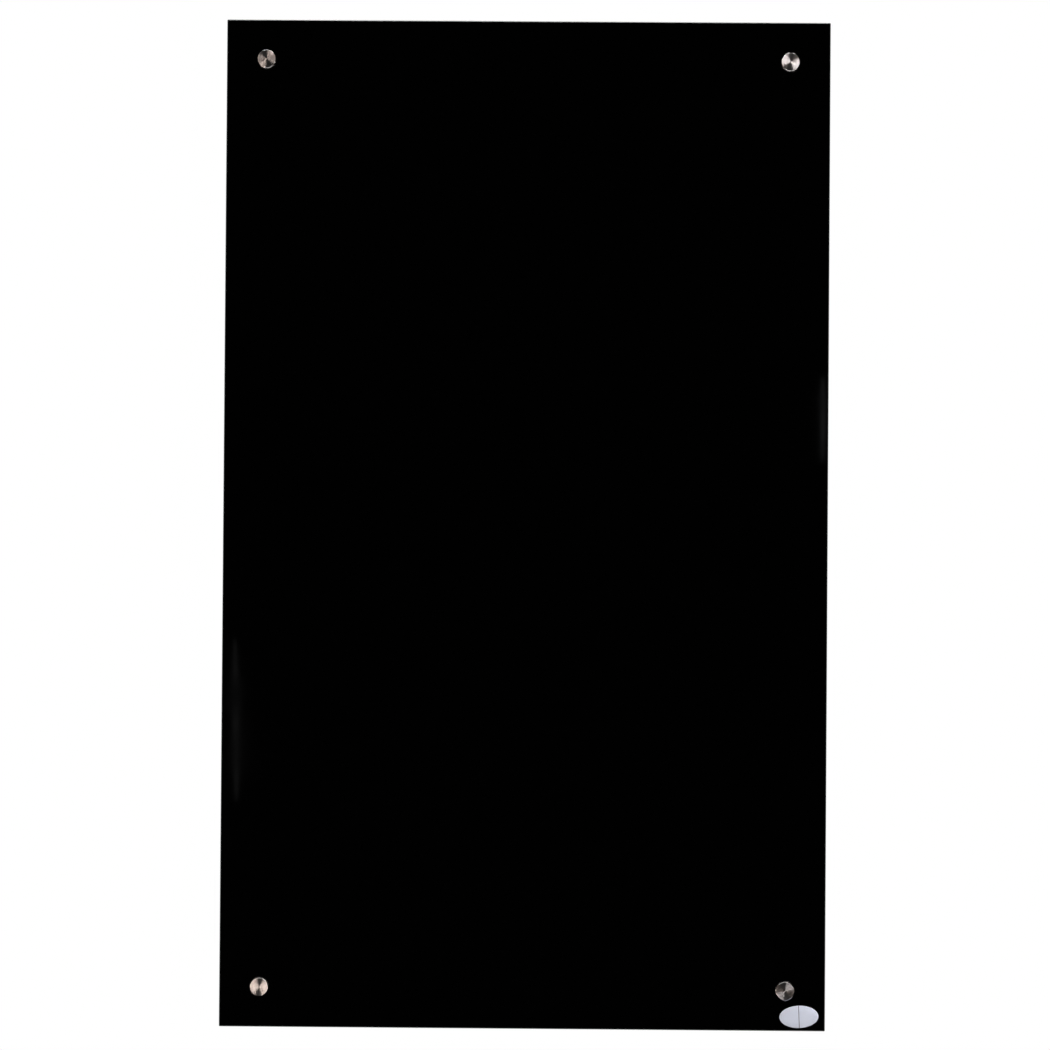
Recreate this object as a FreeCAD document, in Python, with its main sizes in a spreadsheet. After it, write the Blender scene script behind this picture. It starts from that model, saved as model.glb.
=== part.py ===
import FreeCAD, Part
import math
import os
import re
import Sketcher
from FreeCAD import Placement, Rotation, Vector

# Glass panel heater: a black glass sheet held off the wall by four standoffs, with a sealed
# heating tray bonded behind it and a junction box under the tray.
# Frame: +Z up, the room is at -Y, the wall is the plane Y = 0, and the origin is the centre
# of the four wall fixings. A depth is a distance from the wall towards the room.

SIZES = {
    # Glass sheet
    "panel_width": 600,
    "panel_height": 1000,
    "glass_thickness": 5,
    "glass_corner_radius": 1,
    "glass_arris": 0.8,
    "glass_hole": 11,
    "hole_arris": 0.5,
    # Standoffs
    "cap_inset": 40,
    "standoff_diameter": 19,
    "barrel_length": 25,
    "barrel_chamfer": 0.5,
    "barrel_floor": 6,
    "wall_screw_hole": 4.6,
    "cap_thickness": 5,
    "cap_chamfer": 0.8,
    "stud_diameter": 8,
    "stud_chamfer": 0.8,
    "stud_engagement": 10,
    "thread_clearance": 0.1,
    "washer_thickness": 1,
    "washer_diameter": 18,
    "bush_clearance": 0.2,
    # Rear tray and its gasket
    "tray_side_margin": 60,
    "tray_top_margin": 60,
    "tray_bottom_margin": 90,
    "tray_depth": 16.5,
    "sheet_thickness": 1,
    "flange_width": 12,
    "tray_corner_radius": 9,
    "bend_radius": 1.6,
    "gasket_thickness": 1.5,
    "bead_count": 4,
    "bead_pitch": 180,
    "bead_length": 330,
    "bead_width": 20,
    "bead_height": 2,
    "bead_edge_radius": 1.4,
    # Heating core
    "spreader_thickness": 0.5,
    "core_clearance": 2,
    "cable_diameter": 3,
    "cable_gap": 0.1,
    "groove_clearance": 0.2,
    "run_count": 12,
    "run_side_margin": 28,
    "run_end_margin": 20,
    "run_bay_gap": 15,
    "bay_width": 200,
    "bay_height": 66,
    "tail_height": 31,
    "tail_drop_start": 3,
    "tail_drop_length": 9,
    "tail_bend_radius": 8,
    # Thermal cutout
    "cutout_offset": 38,
    "cutout_cap_diameter": 17,
    "cutout_cap_height": 4,
    "cutout_body_diameter": 15.6,
    "cutout_body_height": 8.5,
    # Tabs and push-on receptacles
    "tab_width": 6.3,
    "tab_thickness": 0.8,
    "tab_length": 8,
    "tab_root": 3,
    "tab_clearance": 0.1,
    "sleeve_length": 7,
    "sleeve_wall": 0.5,
    "barrel_wall": 0.5,
    "crimp_length": 6,
    "crimp_grip": 5,
    # Wires, splices and grommet
    "wire_diameter": 2.4,
    "wire_clearance": 0.15,
    "wire_pitch": 2.7,
    "wire_bend": 5,
    "tight_bend": 3.5,
    "live_wire_rise": 3.6,
    "switched_wire_drop": 4,
    "splice_diameter": 5,
    "splice_length": 16,
    "splice_offset": 68,
    "splice_grip": 7,
    "grommet_hole": 10,
    "grommet_flange": 11.6,
    "grommet_lip": 1.5,
    "grommet_bore": 8.4,
    # Earth connection
    "earth_offset": 34,
    "earth_height": 24,
    "earth_stud_diameter": 4,
    "earth_stud_length": 10,
    "earth_clearance": 0.15,
    "ring_diameter": 8,
    "ring_thickness": 0.8,
    "ring_reach": 7,
    "earth_washer_thickness": 0.8,
    "earth_nut_flats": 7,
    "earth_nut_height": 3.2,
    # Junction box
    "box_length": 150,
    "box_height": 46,
    "box_depth": 18.5,
    "box_wall": 2,
    "box_corner_radius": 4,
    "box_edge_radius": 1.2,
    "box_pad_thickness": 1,
    "box_pad_inset": 3,
    "boss_diameter": 6.5,
    "boss_inset": 4.5,
    "lid_thickness": 2.5,
    "lid_edge_chamfer": 0.8,
    "lid_inset": 0.4,
    "lip_height": 1.5,
    "lip_wall": 1.2,
    "lip_clearance": 0.2,
    "lip_corner_gap": 14,
    "lid_screw_diameter": 3,
    "lid_screw_head": 5.6,
    "lid_screw_length": 10,
    "screw_clearance": 0.1,
    "cross_span": 2.6,
    "cross_width": 0.7,
    "cross_depth": 1.2,
    # Terminal block
    "pole_pitch": 9,
    "block_end": 1.5,
    "block_width": 17,
    "block_height": 10,
    "block_rise": 17,
    "plinth_height": 3,
    "tube_diameter": 5,
    "tube_grip": 5,
    "terminal_screw_diameter": 3,
    "terminal_screw_pitch": 9,
    "terminal_screw_sink": 0.6,
    "terminal_well": 4,
    "driver_slot_width": 0.6,
    "driver_slot_depth": 0.8,
    "block_screw_diameter": 2.5,
    "block_screw_head": 4.4,
    "block_screw_head_height": 1.8,
    "block_screw_sink": 0.5,
    "block_screw_bite": 4,
    # Rocker switch
    "switch_end_margin": 30,
    "bezel_length": 15,
    "bezel_width": 10.5,
    "bezel_height": 2,
    "switch_length": 13.8,
    "switch_width": 9.2,
    "switch_depth": 12,
    "switch_clearance": 0.1,
    "switch_tab_spacing": 8,
    "rocker_length": 11,
    "rocker_width": 6.2,
    "rocker_clearance": 0.3,
    "rocker_well_depth": 9,
    "rocker_lift": 0.3,
    "rocker_tilt": 11,
    "rocker_pivot_rise": 0.4,
    "rocker_skirt": 1.6,
    "rocker_keel": 3.2,
    "pivot_diameter": 2,
    "pivot_reach": 0.9,
    "pivot_clearance": 0.1,
    # Cable gland
    "gland_end_margin": 30,
    "gland_flats": 14,
    "gland_thread": 12,
    "gland_flange": 4,
    "gland_inner_length": 10,
    "gland_bore": 8,
    "gland_collar": 7,
    "gland_clearance": 0.1,
    "locknut_height": 4,
    "seal_bore": 7,
    "seal_diameter": 9.6,
    "seal_seat_depth": 5,
    "seal_length": 6,
    "dome_gap": 0.5,
    "dome_hex_length": 8.2,
    "dome_length": 4.5,
    "dome_shoulder": 1.5,
    "dome_mouth": 8.4,
    "dome_tip_diameter": 10.4,
}

# Places that follow from the sizes, each written once
PLACES = {
    # Depths
    "glass_back": "barrel_length + washer_thickness",
    "glass_front": "glass_back + glass_thickness",
    "cap_back": "glass_front + washer_thickness",
    "cap_front": "cap_back + cap_thickness",
    "stud_tip": "barrel_length - stud_engagement",
    "spreader_back": "glass_back - spreader_thickness",
    "cable_depth": "spreader_back - cable_gap - cable_diameter / 2",
    "groove_floor": "cable_depth - cable_diameter / 2 - groove_clearance",
    "flange_front": "glass_back - gasket_thickness",
    "flange_back": "flange_front - sheet_thickness",
    "tray_back": "flange_front - tray_depth",
    "tray_floor": "tray_back + sheet_thickness",
    "box_front": "glass_back - box_pad_thickness",
    "box_floor": "box_front - box_wall",
    "lid_seat": "box_front - box_depth",
    "lid_back": "lid_seat - lid_thickness",
    "wire_depth": "(lid_seat + lip_height + box_floor) / 2",
    "block_base": "box_floor - plinth_height",
    "block_face": "block_base - block_height",
    # Standoffs
    "cap_across": "panel_width / 2 - cap_inset",
    "cap_up": "panel_height / 2 - cap_inset",
    "stud_bore": "stud_diameter + 2 * thread_clearance",
    "bush_bore": "stud_diameter + 2 * bush_clearance",
    # Tray and heating core
    "tray_side": "panel_width / 2 - tray_side_margin",
    "tray_top": "panel_height / 2 - tray_top_margin",
    "tray_bottom": "tray_bottom_margin - panel_height / 2",
    "tray_middle": "(tray_top + tray_bottom) / 2",
    "opening_side": "tray_side - flange_width",
    "opening_top": "tray_top - flange_width",
    "opening_bottom": "tray_bottom + flange_width",
    "board_side": "opening_side - core_clearance",
    "board_top": "opening_top - core_clearance",
    "board_bottom": "opening_bottom + core_clearance",
    "bay_side": "bay_width / 2",
    "bay_top": "board_bottom + bay_height",
    "tail_up": "board_bottom + tail_height",
    "run_pitch": "2 * (board_side - run_side_margin) / (run_count - 1)",
    "run_high": "board_top - run_end_margin",
    "run_low": "bay_top + run_bay_gap",
    "cutout_base": "spreader_back - cutout_cap_height",
    # Junction box and what it holds
    "box_side": "box_length / 2",
    "switch_offset": "box_side - switch_end_margin",
    "gland_offset": "box_side - gland_end_margin",
    "box_bottom": "tray_bottom - box_height",
    "box_middle": "tray_bottom - box_height / 2",
    "boss_across": "box_side - boss_inset",
    "boss_up": "box_height / 2 - boss_inset",
    "box_roof": "tray_bottom - box_wall",
    "box_sill": "box_bottom + box_wall",
    "block_side": "1.5 * pole_pitch + block_end",
    "block_up": "box_bottom + block_rise",
    "block_bottom": "block_up - block_width / 2",
    "block_top": "block_up + block_width / 2",
    "tube_bore": "wire_diameter + 2 * wire_clearance",
    "switch_top": "box_bottom + switch_depth",
    "tab_tip": "switch_top + tab_length",
    "crimp_mouth": "tab_tip + crimp_length",
    "crimp_tip": "crimp_mouth - crimp_grip",
    "pivot_up": "box_bottom + rocker_pivot_rise",
    "live_run": "crimp_mouth + live_wire_rise",
    "switched_run": "box_roof - switched_wire_drop",
}

CORNERS = {
    "top_left": (-1, 1),
    "top_right": (1, 1),
    "bottom_left": (-1, -1),
    "bottom_right": (1, -1),
}

doc = FreeCAD.newDocument("glass_panel_heater")
sheet = doc.addObject("Spreadsheet::Sheet", "Sizes")
for row, (alias, number) in enumerate(SIZES.items(), 1):
    sheet.set(f"A{row}", alias)
    sheet.set(f"B{row}", str(number))
    sheet.setAlias(f"B{row}", alias)
doc.recompute()
nodes = []


def sized(expression):
    """The expression with each place written out in the sheet's sizes."""
    def written_out(match):
        word = match.group()
        if word in PLACES:
            return "(" + sized(PLACES[word]) + ")"
        return "Sizes." + word if word in SIZES else word
    return re.sub(r"[a-z_]+", written_out, str(expression))


def mm(expression):
    """The number that an expression comes to now."""
    return float(sheet.evalExpression(sized(expression)))


def at(across, depth, up):
    """The point at three expressions."""
    return Vector(mm(across), -mm(depth), mm(up))


def new_body(label, is_node=True):
    """An empty body, placed at the origin. A pattern's master is no node of its own."""
    body = doc.addObject("PartDesign::Body", label)
    body.Label = label
    if is_node:
        nodes.append(body)
    return body


def place(body, across, depth, up):
    """Binds a body's place to three expressions."""
    body.setExpression("Placement.Base.x", sized(across))
    body.setExpression("Placement.Base.y", sized(f"-({depth})"))
    body.setExpression("Placement.Base.z", sized(up))
    doc.recompute()


def origin_item(body, role):
    return next(item for item in body.Origin.OriginFeatures if item.Role == role)


def new_sketch(body, role, offset):
    """A sketch on an origin plane, moved along the plane's normal by an expression."""
    sketch = body.newObject("Sketcher::SketchObject", body.Label + "_sketch")
    sketch.AttachmentSupport = [(origin_item(body, role), "")]
    sketch.MapMode = "FlatFace"
    sketch.setExpression("AttachmentOffset.Base.z", sized(offset))
    return sketch


def bind(sketch, constraint, expression):
    index = sketch.addConstraint(constraint)
    sketch.setExpression(f"Constraints[{index}]", sized(expression))


def bind_point(sketch, geometry, end, x, y):
    """Holds a point of the geometry at two expressions from the sketch's origin."""
    bind(sketch, Sketcher.Constraint("DistanceX", -1, 1, geometry, end, mm(x)), x)
    bind(sketch, Sketcher.Constraint("DistanceY", -1, 1, geometry, end, mm(y)), y)


def draw_outline(sketch, corners):
    """A closed outline of straight sides through corners given as pairs of expressions."""
    points = [Vector(mm(x), mm(y), 0) for x, y in corners]
    sides = [sketch.addGeometry(Part.LineSegment(start, end))
             for start, end in zip(points, points[1:] + points[:1])]
    for side, following in zip(sides, sides[1:] + sides[:1]):
        sketch.addConstraint(Sketcher.Constraint("Coincident", side, 2, following, 1))
    for side, (x, y) in zip(sides, corners):
        bind_point(sketch, side, 1, x, y)


def draw_box(sketch, left, right, low, high):
    draw_outline(sketch, [(left, low), (right, low), (right, high), (left, high)])


def draw_hexagon(sketch, flats):
    """A hexagon about the sketch's origin, with two flats level with its first axis."""
    corner = f"({flats}) / sqrt(3)"
    half = f"({flats}) / 2"
    draw_outline(sketch, [(corner, "0"), (f"{corner} / 2", half), (f"-{corner} / 2", half),
                          (f"-{corner}", "0"), (f"-{corner} / 2", f"-{half}"),
                          (f"{corner} / 2", f"-{half}")])


def draw_circle(sketch, x, y, diameter):
    circle = sketch.addGeometry(
        Part.Circle(Vector(mm(x), mm(y), 0), Vector(0, 0, 1), mm(diameter) / 2))
    bind_point(sketch, circle, 3, x, y)
    bind(sketch, Sketcher.Constraint("Diameter", circle, mm(diameter)), diameter)


def draw_slot(sketch, length, width, level):
    """A level slot with round ends, centred across the sketch."""
    radius = mm(width) / 2
    reach = f"(({length}) - ({width})) / 2"
    right = Vector(mm(reach), mm(level), 0)
    left = Vector(-right.x, right.y, 0)
    rise = Vector(0, radius, 0)
    normal = Vector(0, 0, 1)
    quarter = math.pi / 2
    right_end = sketch.addGeometry(
        Part.ArcOfCircle(Part.Circle(right, normal, radius), -quarter, quarter))
    top = sketch.addGeometry(Part.LineSegment(right + rise, left + rise))
    left_end = sketch.addGeometry(
        Part.ArcOfCircle(Part.Circle(left, normal, radius), quarter, 3 * quarter))
    bottom = sketch.addGeometry(Part.LineSegment(left - rise, right - rise))
    around = [right_end, top, left_end, bottom]
    for piece, following in zip(around, around[1:] + around[:1]):
        sketch.addConstraint(Sketcher.Constraint("Tangent", piece, 2, following, 1))
    sketch.addConstraint(Sketcher.Constraint("Equal", right_end, left_end))
    bind(sketch, Sketcher.Constraint("Diameter", right_end, 2 * radius), width)
    bind_point(sketch, right_end, 3, reach, level)
    bind_point(sketch, left_end, 3, f"-{reach}", level)


def finish_feature(body, feature):
    """Makes the feature the body's last one and proves that it worked."""
    body.Tip = feature
    doc.recompute()
    if "Invalid" in feature.State or feature.Shape.isNull():
        raise ValueError(feature.Label + " failed")
    return feature


def pad(body, sketch, length, back=False):
    """Adds the sketch's outline, along its normal or back from it."""
    feature = body.newObject("PartDesign::Pad", body.Label + "_pad")
    feature.Profile = sketch
    feature.setExpression("Length", sized(length))
    feature.Reversed = back
    return finish_feature(body, feature)


def pocket(body, sketch, length, forward=False):
    """Cuts the sketch's outline, back from its normal or along it, and proves that it cut."""
    before = body.Tip.Shape.Volume
    feature = body.newObject("PartDesign::Pocket", body.Label + "_pocket")
    feature.Profile = sketch
    feature.setExpression("Length", sized(length))
    feature.Reversed = forward
    finish_feature(body, feature)
    if not feature.Shape.Volume < before:
        raise ValueError("nothing was cut in " + body.Label)
    return feature


def cut_cross(body, depth):
    """Cuts a cross recess for a driver into a screw head that faces the wall at a depth."""
    half = "cross_width / 2"
    reach = "cross_span / 2"
    sketch = new_sketch(body, "XZ_Plane", depth)
    draw_outline(sketch, [(reach, f"-{half}"), (reach, half), (half, half), (half, reach),
                          (f"-{half}", reach), (f"-{half}", half), (f"-{reach}", half),
                          (f"-{reach}", f"-{half}"), (f"-{half}", f"-{half}"),
                          (f"-{half}", f"-{reach}"), (half, f"-{reach}"), (half, f"-{half}")])
    pocket(body, sketch, "cross_depth", forward=True)


def turn(body, axis, profile):
    """Revolves a profile of (radius, place along the axis) pairs about the body's Y or Z.

    Along Y the place is a depth, so it counts towards -Y."""
    role = "XY_Plane" if axis == "Y" else "XZ_Plane"
    sketch = new_sketch(body, role, "0")
    if axis == "Y":
        profile = [(radius, f"-({depth})") for radius, depth in profile]
    draw_outline(sketch, profile)
    feature = body.newObject("PartDesign::Revolution", body.Label + "_turn")
    feature.Profile = sketch
    feature.ReferenceAxis = (origin_item(body, axis + "_Axis"), [""])
    feature.Angle = 360
    return finish_feature(body, feature)


def dress(body, kind, size, wanted):
    """Rounds or bevels the edges of the body that pass a test."""
    base = body.Tip
    names = [f"Edge{number}" for number, edge in enumerate(base.Shape.Edges, 1) if wanted(edge)]
    feature = body.newObject("PartDesign::" + kind, body.Label + "_" + kind.lower())
    feature.Base = (base, names)
    feature.setExpression("Radius" if kind == "Fillet" else "Size", sized(size))
    return finish_feature(body, feature)


def near(number, expression):
    return abs(number - mm(expression)) < 0.01


def runs_deep(edge):
    """True of a straight edge square to the glass."""
    line = edge.Curve.TypeId == "Part::GeomLine"
    return line and abs(edge.tangentAt(edge.FirstParameter).y) > 0.999


def lies_at(edge, depth):
    """True of an edge that lies flat at a depth."""
    box = edge.BoundBox
    return near(-box.YMin, depth) and near(-box.YMax, depth)


def add_feature(label, shape):
    """A node whose shape is made here, from the sheet's sizes."""
    feature = doc.addObject("Part::Feature", label)
    feature.Label = label
    feature.Shape = shape
    nodes.append(feature)
    return feature


def add_copies(label, master, placements):
    """A node that groups copies of one body."""
    solids = []
    for placement in placements:
        solid = master.Shape.copy()
        solid.Placement = placement.multiply(solid.Placement)
        solids.append(solid)
    return add_feature(label, Part.makeCompound(solids))


def rounded_path(corners):
    """A wire of straight runs and tangent arcs through (point, bend radius) pairs."""
    points = [point for point, bend in corners]
    edges = []
    start = points[0]
    for before, (corner, bend), after in zip(points, corners[1:-1], points[2:]):
        incoming = (corner - before).normalize()
        outgoing = (after - corner).normalize()
        half_turn = incoming.getAngle(outgoing) / 2
        reach = bend * math.tan(half_turn)
        arc_start = corner - incoming * reach
        arc_end = corner + outgoing * reach
        inward = (outgoing - incoming).normalize()
        middle = corner + inward * (bend / math.cos(half_turn) - bend)
        if arc_start.distanceToPoint(start) > 0.001:
            edges.append(Part.LineSegment(start, arc_start).toShape())
        edges.append(Part.Arc(arc_start, middle, arc_end).toShape())
        start = arc_end
    edges.append(Part.LineSegment(start, points[-1]).toShape())
    return Part.Wire(edges)


def swept(path, section):
    """The solid that a section face leaves along a path, proved by its volume."""
    solid = path.makePipeShell([section.OuterWire], True, False)
    if abs(solid.Volume / (section.Area * path.Length) - 1) > 0.01:
        raise ValueError("a sweep lost its section")
    return solid


def round_section(path, diameter):
    """A round face square to the start of a path."""
    first = path.Edges[0]
    ahead = first.tangentAt(first.FirstParameter)
    circle = Part.Circle(path.Vertexes[0].Point, ahead, mm(diameter) / 2)
    return Part.Face(Part.Wire([circle.toShape()]))


def add_wire(label, corners):
    """A wire node through (point, bend radius) pairs."""
    path = rounded_path(corners)
    return add_feature(label, swept(path, round_section(path, "wire_diameter")))


# Front glass: toughened black sheet with ground edges and a hole for each standoff
glass = new_body("front_glass")
outline = new_sketch(glass, "XZ_Plane", "glass_back")
draw_box(outline, "-panel_width / 2", "panel_width / 2", "-panel_height / 2", "panel_height / 2")
pad(glass, outline, "glass_thickness")
dress(glass, "Fillet", "glass_corner_radius", runs_deep)
holes = new_sketch(glass, "XZ_Plane", "glass_front")
for side, level in CORNERS.values():
    draw_circle(holes, f"{side} * cap_across", f"{level} * cap_up", "glass_hole")
pocket(glass, holes, "glass_thickness")
dress(glass, "Chamfer", "hole_arris",
      lambda edge: edge.Closed and near(edge.Curve.Radius, "glass_hole / 2"))
dress(glass, "Chamfer", "glass_arris",
      lambda edge: not edge.Closed and (lies_at(edge, "glass_back") or lies_at(edge, "glass_front")))

# Standoffs: a barrel screwed to the wall, washers on both sides of the glass, a bush that
# keeps the stud off the glass, and a spun cap whose stud screws into the barrel
for corner, (side, level) in CORNERS.items():
    barrel = new_body("standoff_barrel_" + corner)
    turn(barrel, "Y", [
        ("wall_screw_hole / 2", "0"),
        ("standoff_diameter / 2 - barrel_chamfer", "0"),
        ("standoff_diameter / 2", "barrel_chamfer"),
        ("standoff_diameter / 2", "barrel_length - barrel_chamfer"),
        ("standoff_diameter / 2 - barrel_chamfer", "barrel_length"),
        ("stud_bore / 2", "barrel_length"),
        ("stud_bore / 2", "barrel_floor"),
        ("wall_screw_hole / 2", "barrel_floor - (stud_bore - wall_screw_hole) / 2")])

    cap = new_body("standoff_cap_" + corner)
    turn(cap, "Y", [
        ("0", "stud_tip"),
        ("stud_diameter / 2 - stud_chamfer", "stud_tip"),
        ("stud_diameter / 2", "stud_tip + stud_chamfer"),
        ("stud_diameter / 2", "cap_back"),
        ("standoff_diameter / 2", "cap_back"),
        ("standoff_diameter / 2", "cap_front - cap_chamfer"),
        ("standoff_diameter / 2 - cap_chamfer", "cap_front"),
        ("0", "cap_front")])

    ring_pieces = [barrel, cap]
    for label, outer, back, front in [
            ("rear_washer_", "washer_diameter", "barrel_length", "glass_back"),
            ("hole_bush_", "glass_hole - 2 * bush_clearance", "glass_back", "glass_front"),
            ("front_washer_", "washer_diameter", "glass_front", "cap_back")]:
        ring = new_body(label + corner)
        turn(ring, "Y", [("bush_bore / 2", back), (f"({outer}) / 2", back),
                         (f"({outer}) / 2", front), ("bush_bore / 2", front)])
        ring_pieces.append(ring)
    for piece in ring_pieces:
        place(piece, f"{side} * cap_across", "0", f"{level} * cap_up")

# Rear tray: one sheet pressed into a box with a flange turned in round its mouth and
# stiffening beads pressed out of its back
tray = new_body("rear_tray")
outline = new_sketch(tray, "XZ_Plane", "tray_back")
draw_box(outline, "-tray_side", "tray_side", "tray_bottom", "tray_top")
pad(tray, outline, "tray_depth")
cavity = new_sketch(tray, "XZ_Plane", "flange_back")
draw_box(cavity, "-tray_side + sheet_thickness", "tray_side - sheet_thickness",
         "tray_bottom + sheet_thickness", "tray_top - sheet_thickness")
pocket(tray, cavity, "flange_back - tray_floor")
dress(tray, "Fillet", "tray_corner_radius - sheet_thickness",
      lambda edge: runs_deep(edge) and near(edge.Length, "flange_back - tray_floor"))
dress(tray, "Fillet", "bend_radius - sheet_thickness", lambda edge: lies_at(edge, "tray_floor"))
dress(tray, "Fillet", "tray_corner_radius",
      lambda edge: runs_deep(edge) and near(edge.Length, "tray_depth"))
dress(tray, "Fillet", "bend_radius", lambda edge: lies_at(edge, "tray_back"))
beads = new_sketch(tray, "XZ_Plane", "tray_back")
bead_levels = [f"tray_middle + {number} * bead_pitch - (bead_count - 1) * bead_pitch / 2"
               for number in range(SIZES["bead_count"])]
for level in bead_levels:
    draw_slot(beads, "bead_length", "bead_width", level)
pad(tray, beads, "bead_height", back=True)
dress(tray, "Fillet", "bead_edge_radius",
      lambda edge: lies_at(edge, "tray_back - bead_height"))
mouth = new_sketch(tray, "XZ_Plane", "flange_front")
draw_box(mouth, "-opening_side", "opening_side", "opening_bottom", "opening_top")
pocket(tray, mouth, "sheet_thickness")
hollows = new_sketch(tray, "XZ_Plane", "tray_floor")
for level in bead_levels:
    draw_slot(hollows, "bead_length - 2 * sheet_thickness", "bead_width - 2 * sheet_thickness", level)
pocket(tray, hollows, "bead_height")
wire_hole = new_sketch(tray, "XY_Plane", "tray_bottom")
draw_circle(wire_hole, "0", "-wire_depth", "grommet_hole")
pocket(tray, wire_hole, "sheet_thickness", forward=True)

# Tray gasket: silicone strip that bonds the flange to the glass
gasket = new_body("tray_gasket")
strip = new_sketch(gasket, "XZ_Plane", "flange_front")
draw_box(strip, "-tray_side", "tray_side", "tray_bottom", "tray_top")
draw_box(strip, "-opening_side", "opening_side", "opening_bottom", "opening_top")
pad(gasket, strip, "gasket_thickness")
dress(gasket, "Fillet", "tray_corner_radius",
      lambda edge: runs_deep(edge) and near(abs(edge.BoundBox.XMax), "tray_side"))

# Heat spreader: aluminium foil sheet on the back of the glass
spreader = new_body("heat_spreader")
outline = new_sketch(spreader, "XZ_Plane", "spreader_back")
draw_box(outline, "-board_side", "board_side", "board_bottom", "board_top")
pad(spreader, outline, "spreader_thickness")

# Heating cable: laid up and down in an even number of runs, so that both of its tails come
# out at the foot, where they drop from the groove to the level of the splices
half_pitch = mm("run_pitch") / 2
run_places = [f"-board_side + run_side_margin + {number} * run_pitch"
              for number in range(SIZES["run_count"])]
tail_end = "splice_offset + splice_length - splice_grip"
tail_bends = [("bay_side - tail_drop_start", "cable_depth"),
              ("bay_side - tail_drop_start - tail_drop_length", "wire_depth")]


def tail(side):
    """The tail on one side, from its splice to the foot of the outermost run."""
    corners = [(at(f"{side} * ({tail_end})", "wire_depth", "tail_up"), 0)]
    for across, depth in reversed(tail_bends):
        corners.append((at(f"{side} * ({across})", depth, "tail_up"), mm("tail_bend_radius")))
    outermost = "board_side - run_side_margin"
    corners.append((at(f"{side} * ({outermost})", "cable_depth", "tail_up"), half_pitch))
    return corners


cable_corners = tail(-1)
for number, across in enumerate(run_places):
    ends = ["run_low", "run_high"] if number % 2 == 0 else ["run_high", "run_low"]
    if number == 0:
        ends = ends[1:]
    if number == len(run_places) - 1:
        ends = ends[:1]
    for up in ends:
        cable_corners.append((at(across, "cable_depth", up), half_pitch))
cable_corners += reversed(tail(1))
cable_path = rounded_path(cable_corners)
add_feature("heating_cable", swept(cable_path, round_section(cable_path, "cable_diameter")))

# Insulation board: fibre board with a bay for the wiring and a milled groove for the cable
board = new_body("insulation_blank", is_node=False)
outline = new_sketch(board, "XZ_Plane", "tray_floor")
draw_box(outline, "-board_side", "board_side", "board_bottom", "board_top")
pad(board, outline, "spreader_back - tray_floor")
bay = new_sketch(board, "XZ_Plane", "spreader_back")
draw_box(bay, "-bay_side", "bay_side", "board_bottom", "bay_top")
pocket(board, bay, "spreader_back - tray_floor")
groove_corners = [(at("-bay_side", "cable_depth", "tail_up"), 0)]
groove_corners += cable_corners[3:-3]
groove_corners += [(at("bay_side", "cable_depth", "tail_up"), 0)]
groove_path = rounded_path(groove_corners)
groove_half = mm("cable_diameter / 2 + groove_clearance")
groove_section = Part.Face(Part.makePolygon([
    at("-bay_side", depth, "tail_up") + Vector(0, 0, offset)
    for depth, offset in [("groove_floor", -groove_half), ("groove_floor", groove_half),
                          ("spreader_back", groove_half), ("spreader_back", -groove_half),
                          ("groove_floor", -groove_half)]]))
groove = doc.addObject("Part::Feature", "cable_groove")
groove.Shape = swept(groove_path, groove_section)
insulation = doc.addObject("Part::Cut", "insulation_board")
insulation.Label = "insulation_board"
insulation.Base = board
insulation.Tool = groove
doc.recompute()
nodes.append(insulation)

# Thermal cutout: a snap disc under an aluminium cap, in a moulded body with two side tabs
cutout_cap = new_body("cutout_cap")
turn(cutout_cap, "Y", [("0", "cutout_base"), ("cutout_body_diameter / 2", "cutout_base"),
                       ("cutout_body_diameter / 2", "spreader_back - tab_thickness"),
                       ("cutout_cap_diameter / 2", "spreader_back - tab_thickness"),
                       ("cutout_cap_diameter / 2", "spreader_back"), ("0", "spreader_back")])
place(cutout_cap, "cutout_offset", "0", "tail_up")

cutout_body = new_body("cutout_body")
turn(cutout_body, "Y", [("0", "cutout_base - cutout_body_height"),
                        ("cutout_body_diameter / 2", "cutout_base - cutout_body_height"),
                        ("cutout_body_diameter / 2", "cutout_base"), ("0", "cutout_base")])
tab_slots = new_sketch(cutout_body, "XZ_Plane", "wire_depth + tab_thickness / 2 + tab_clearance")
tab_half = "tab_width / 2 + tab_clearance"
tab_base = "cutout_body_diameter / 2 - tab_root"
for side in (-1, 1):
    draw_box(tab_slots, f"{side} * ({tab_base})", f"{side} * cutout_body_diameter",
             f"-({tab_half})", tab_half)
pocket(cutout_body, tab_slots, "tab_thickness + 2 * tab_clearance")
place(cutout_body, "cutout_offset", "0", "tail_up")

cutout_tabs = new_body("cutout_tabs")
tabs = new_sketch(cutout_tabs, "XZ_Plane", "wire_depth - tab_thickness / 2")
for side in (-1, 1):
    draw_box(tabs, f"{side} * ({tab_base})",
             f"{side} * (cutout_body_diameter / 2 + tab_length)", "-tab_width / 2", "tab_width / 2")
pad(cutout_tabs, tabs, "tab_thickness")
place(cutout_tabs, "cutout_offset", "0", "tail_up")

# Junction box: moulded box bonded to the glass under the tray, open towards the wall
box = new_body("junction_box")
outline = new_sketch(box, "XZ_Plane", "lid_seat")
draw_box(outline, "-box_side", "box_side", "box_bottom", "tray_bottom")
pad(box, outline, "box_depth")
dress(box, "Fillet", "box_corner_radius", runs_deep)
dress(box, "Fillet", "box_edge_radius", lambda edge: lies_at(edge, "box_front"))
inside = new_sketch(box, "XZ_Plane", "lid_seat")
draw_box(inside, "-box_side + box_wall", "box_side - box_wall", "box_sill", "box_roof")
pocket(box, inside, "box_depth - box_wall", forward=True)
raised = new_sketch(box, "XZ_Plane", "box_floor")
draw_box(raised, "-block_side", "block_side", "block_bottom", "block_top")
pad(box, raised, "plinth_height", back=True)
posts = new_sketch(box, "XZ_Plane", "box_floor")
for side, level in CORNERS.values():
    draw_circle(posts, f"{side} * boss_across", f"box_middle + {level} * boss_up", "boss_diameter")
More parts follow.
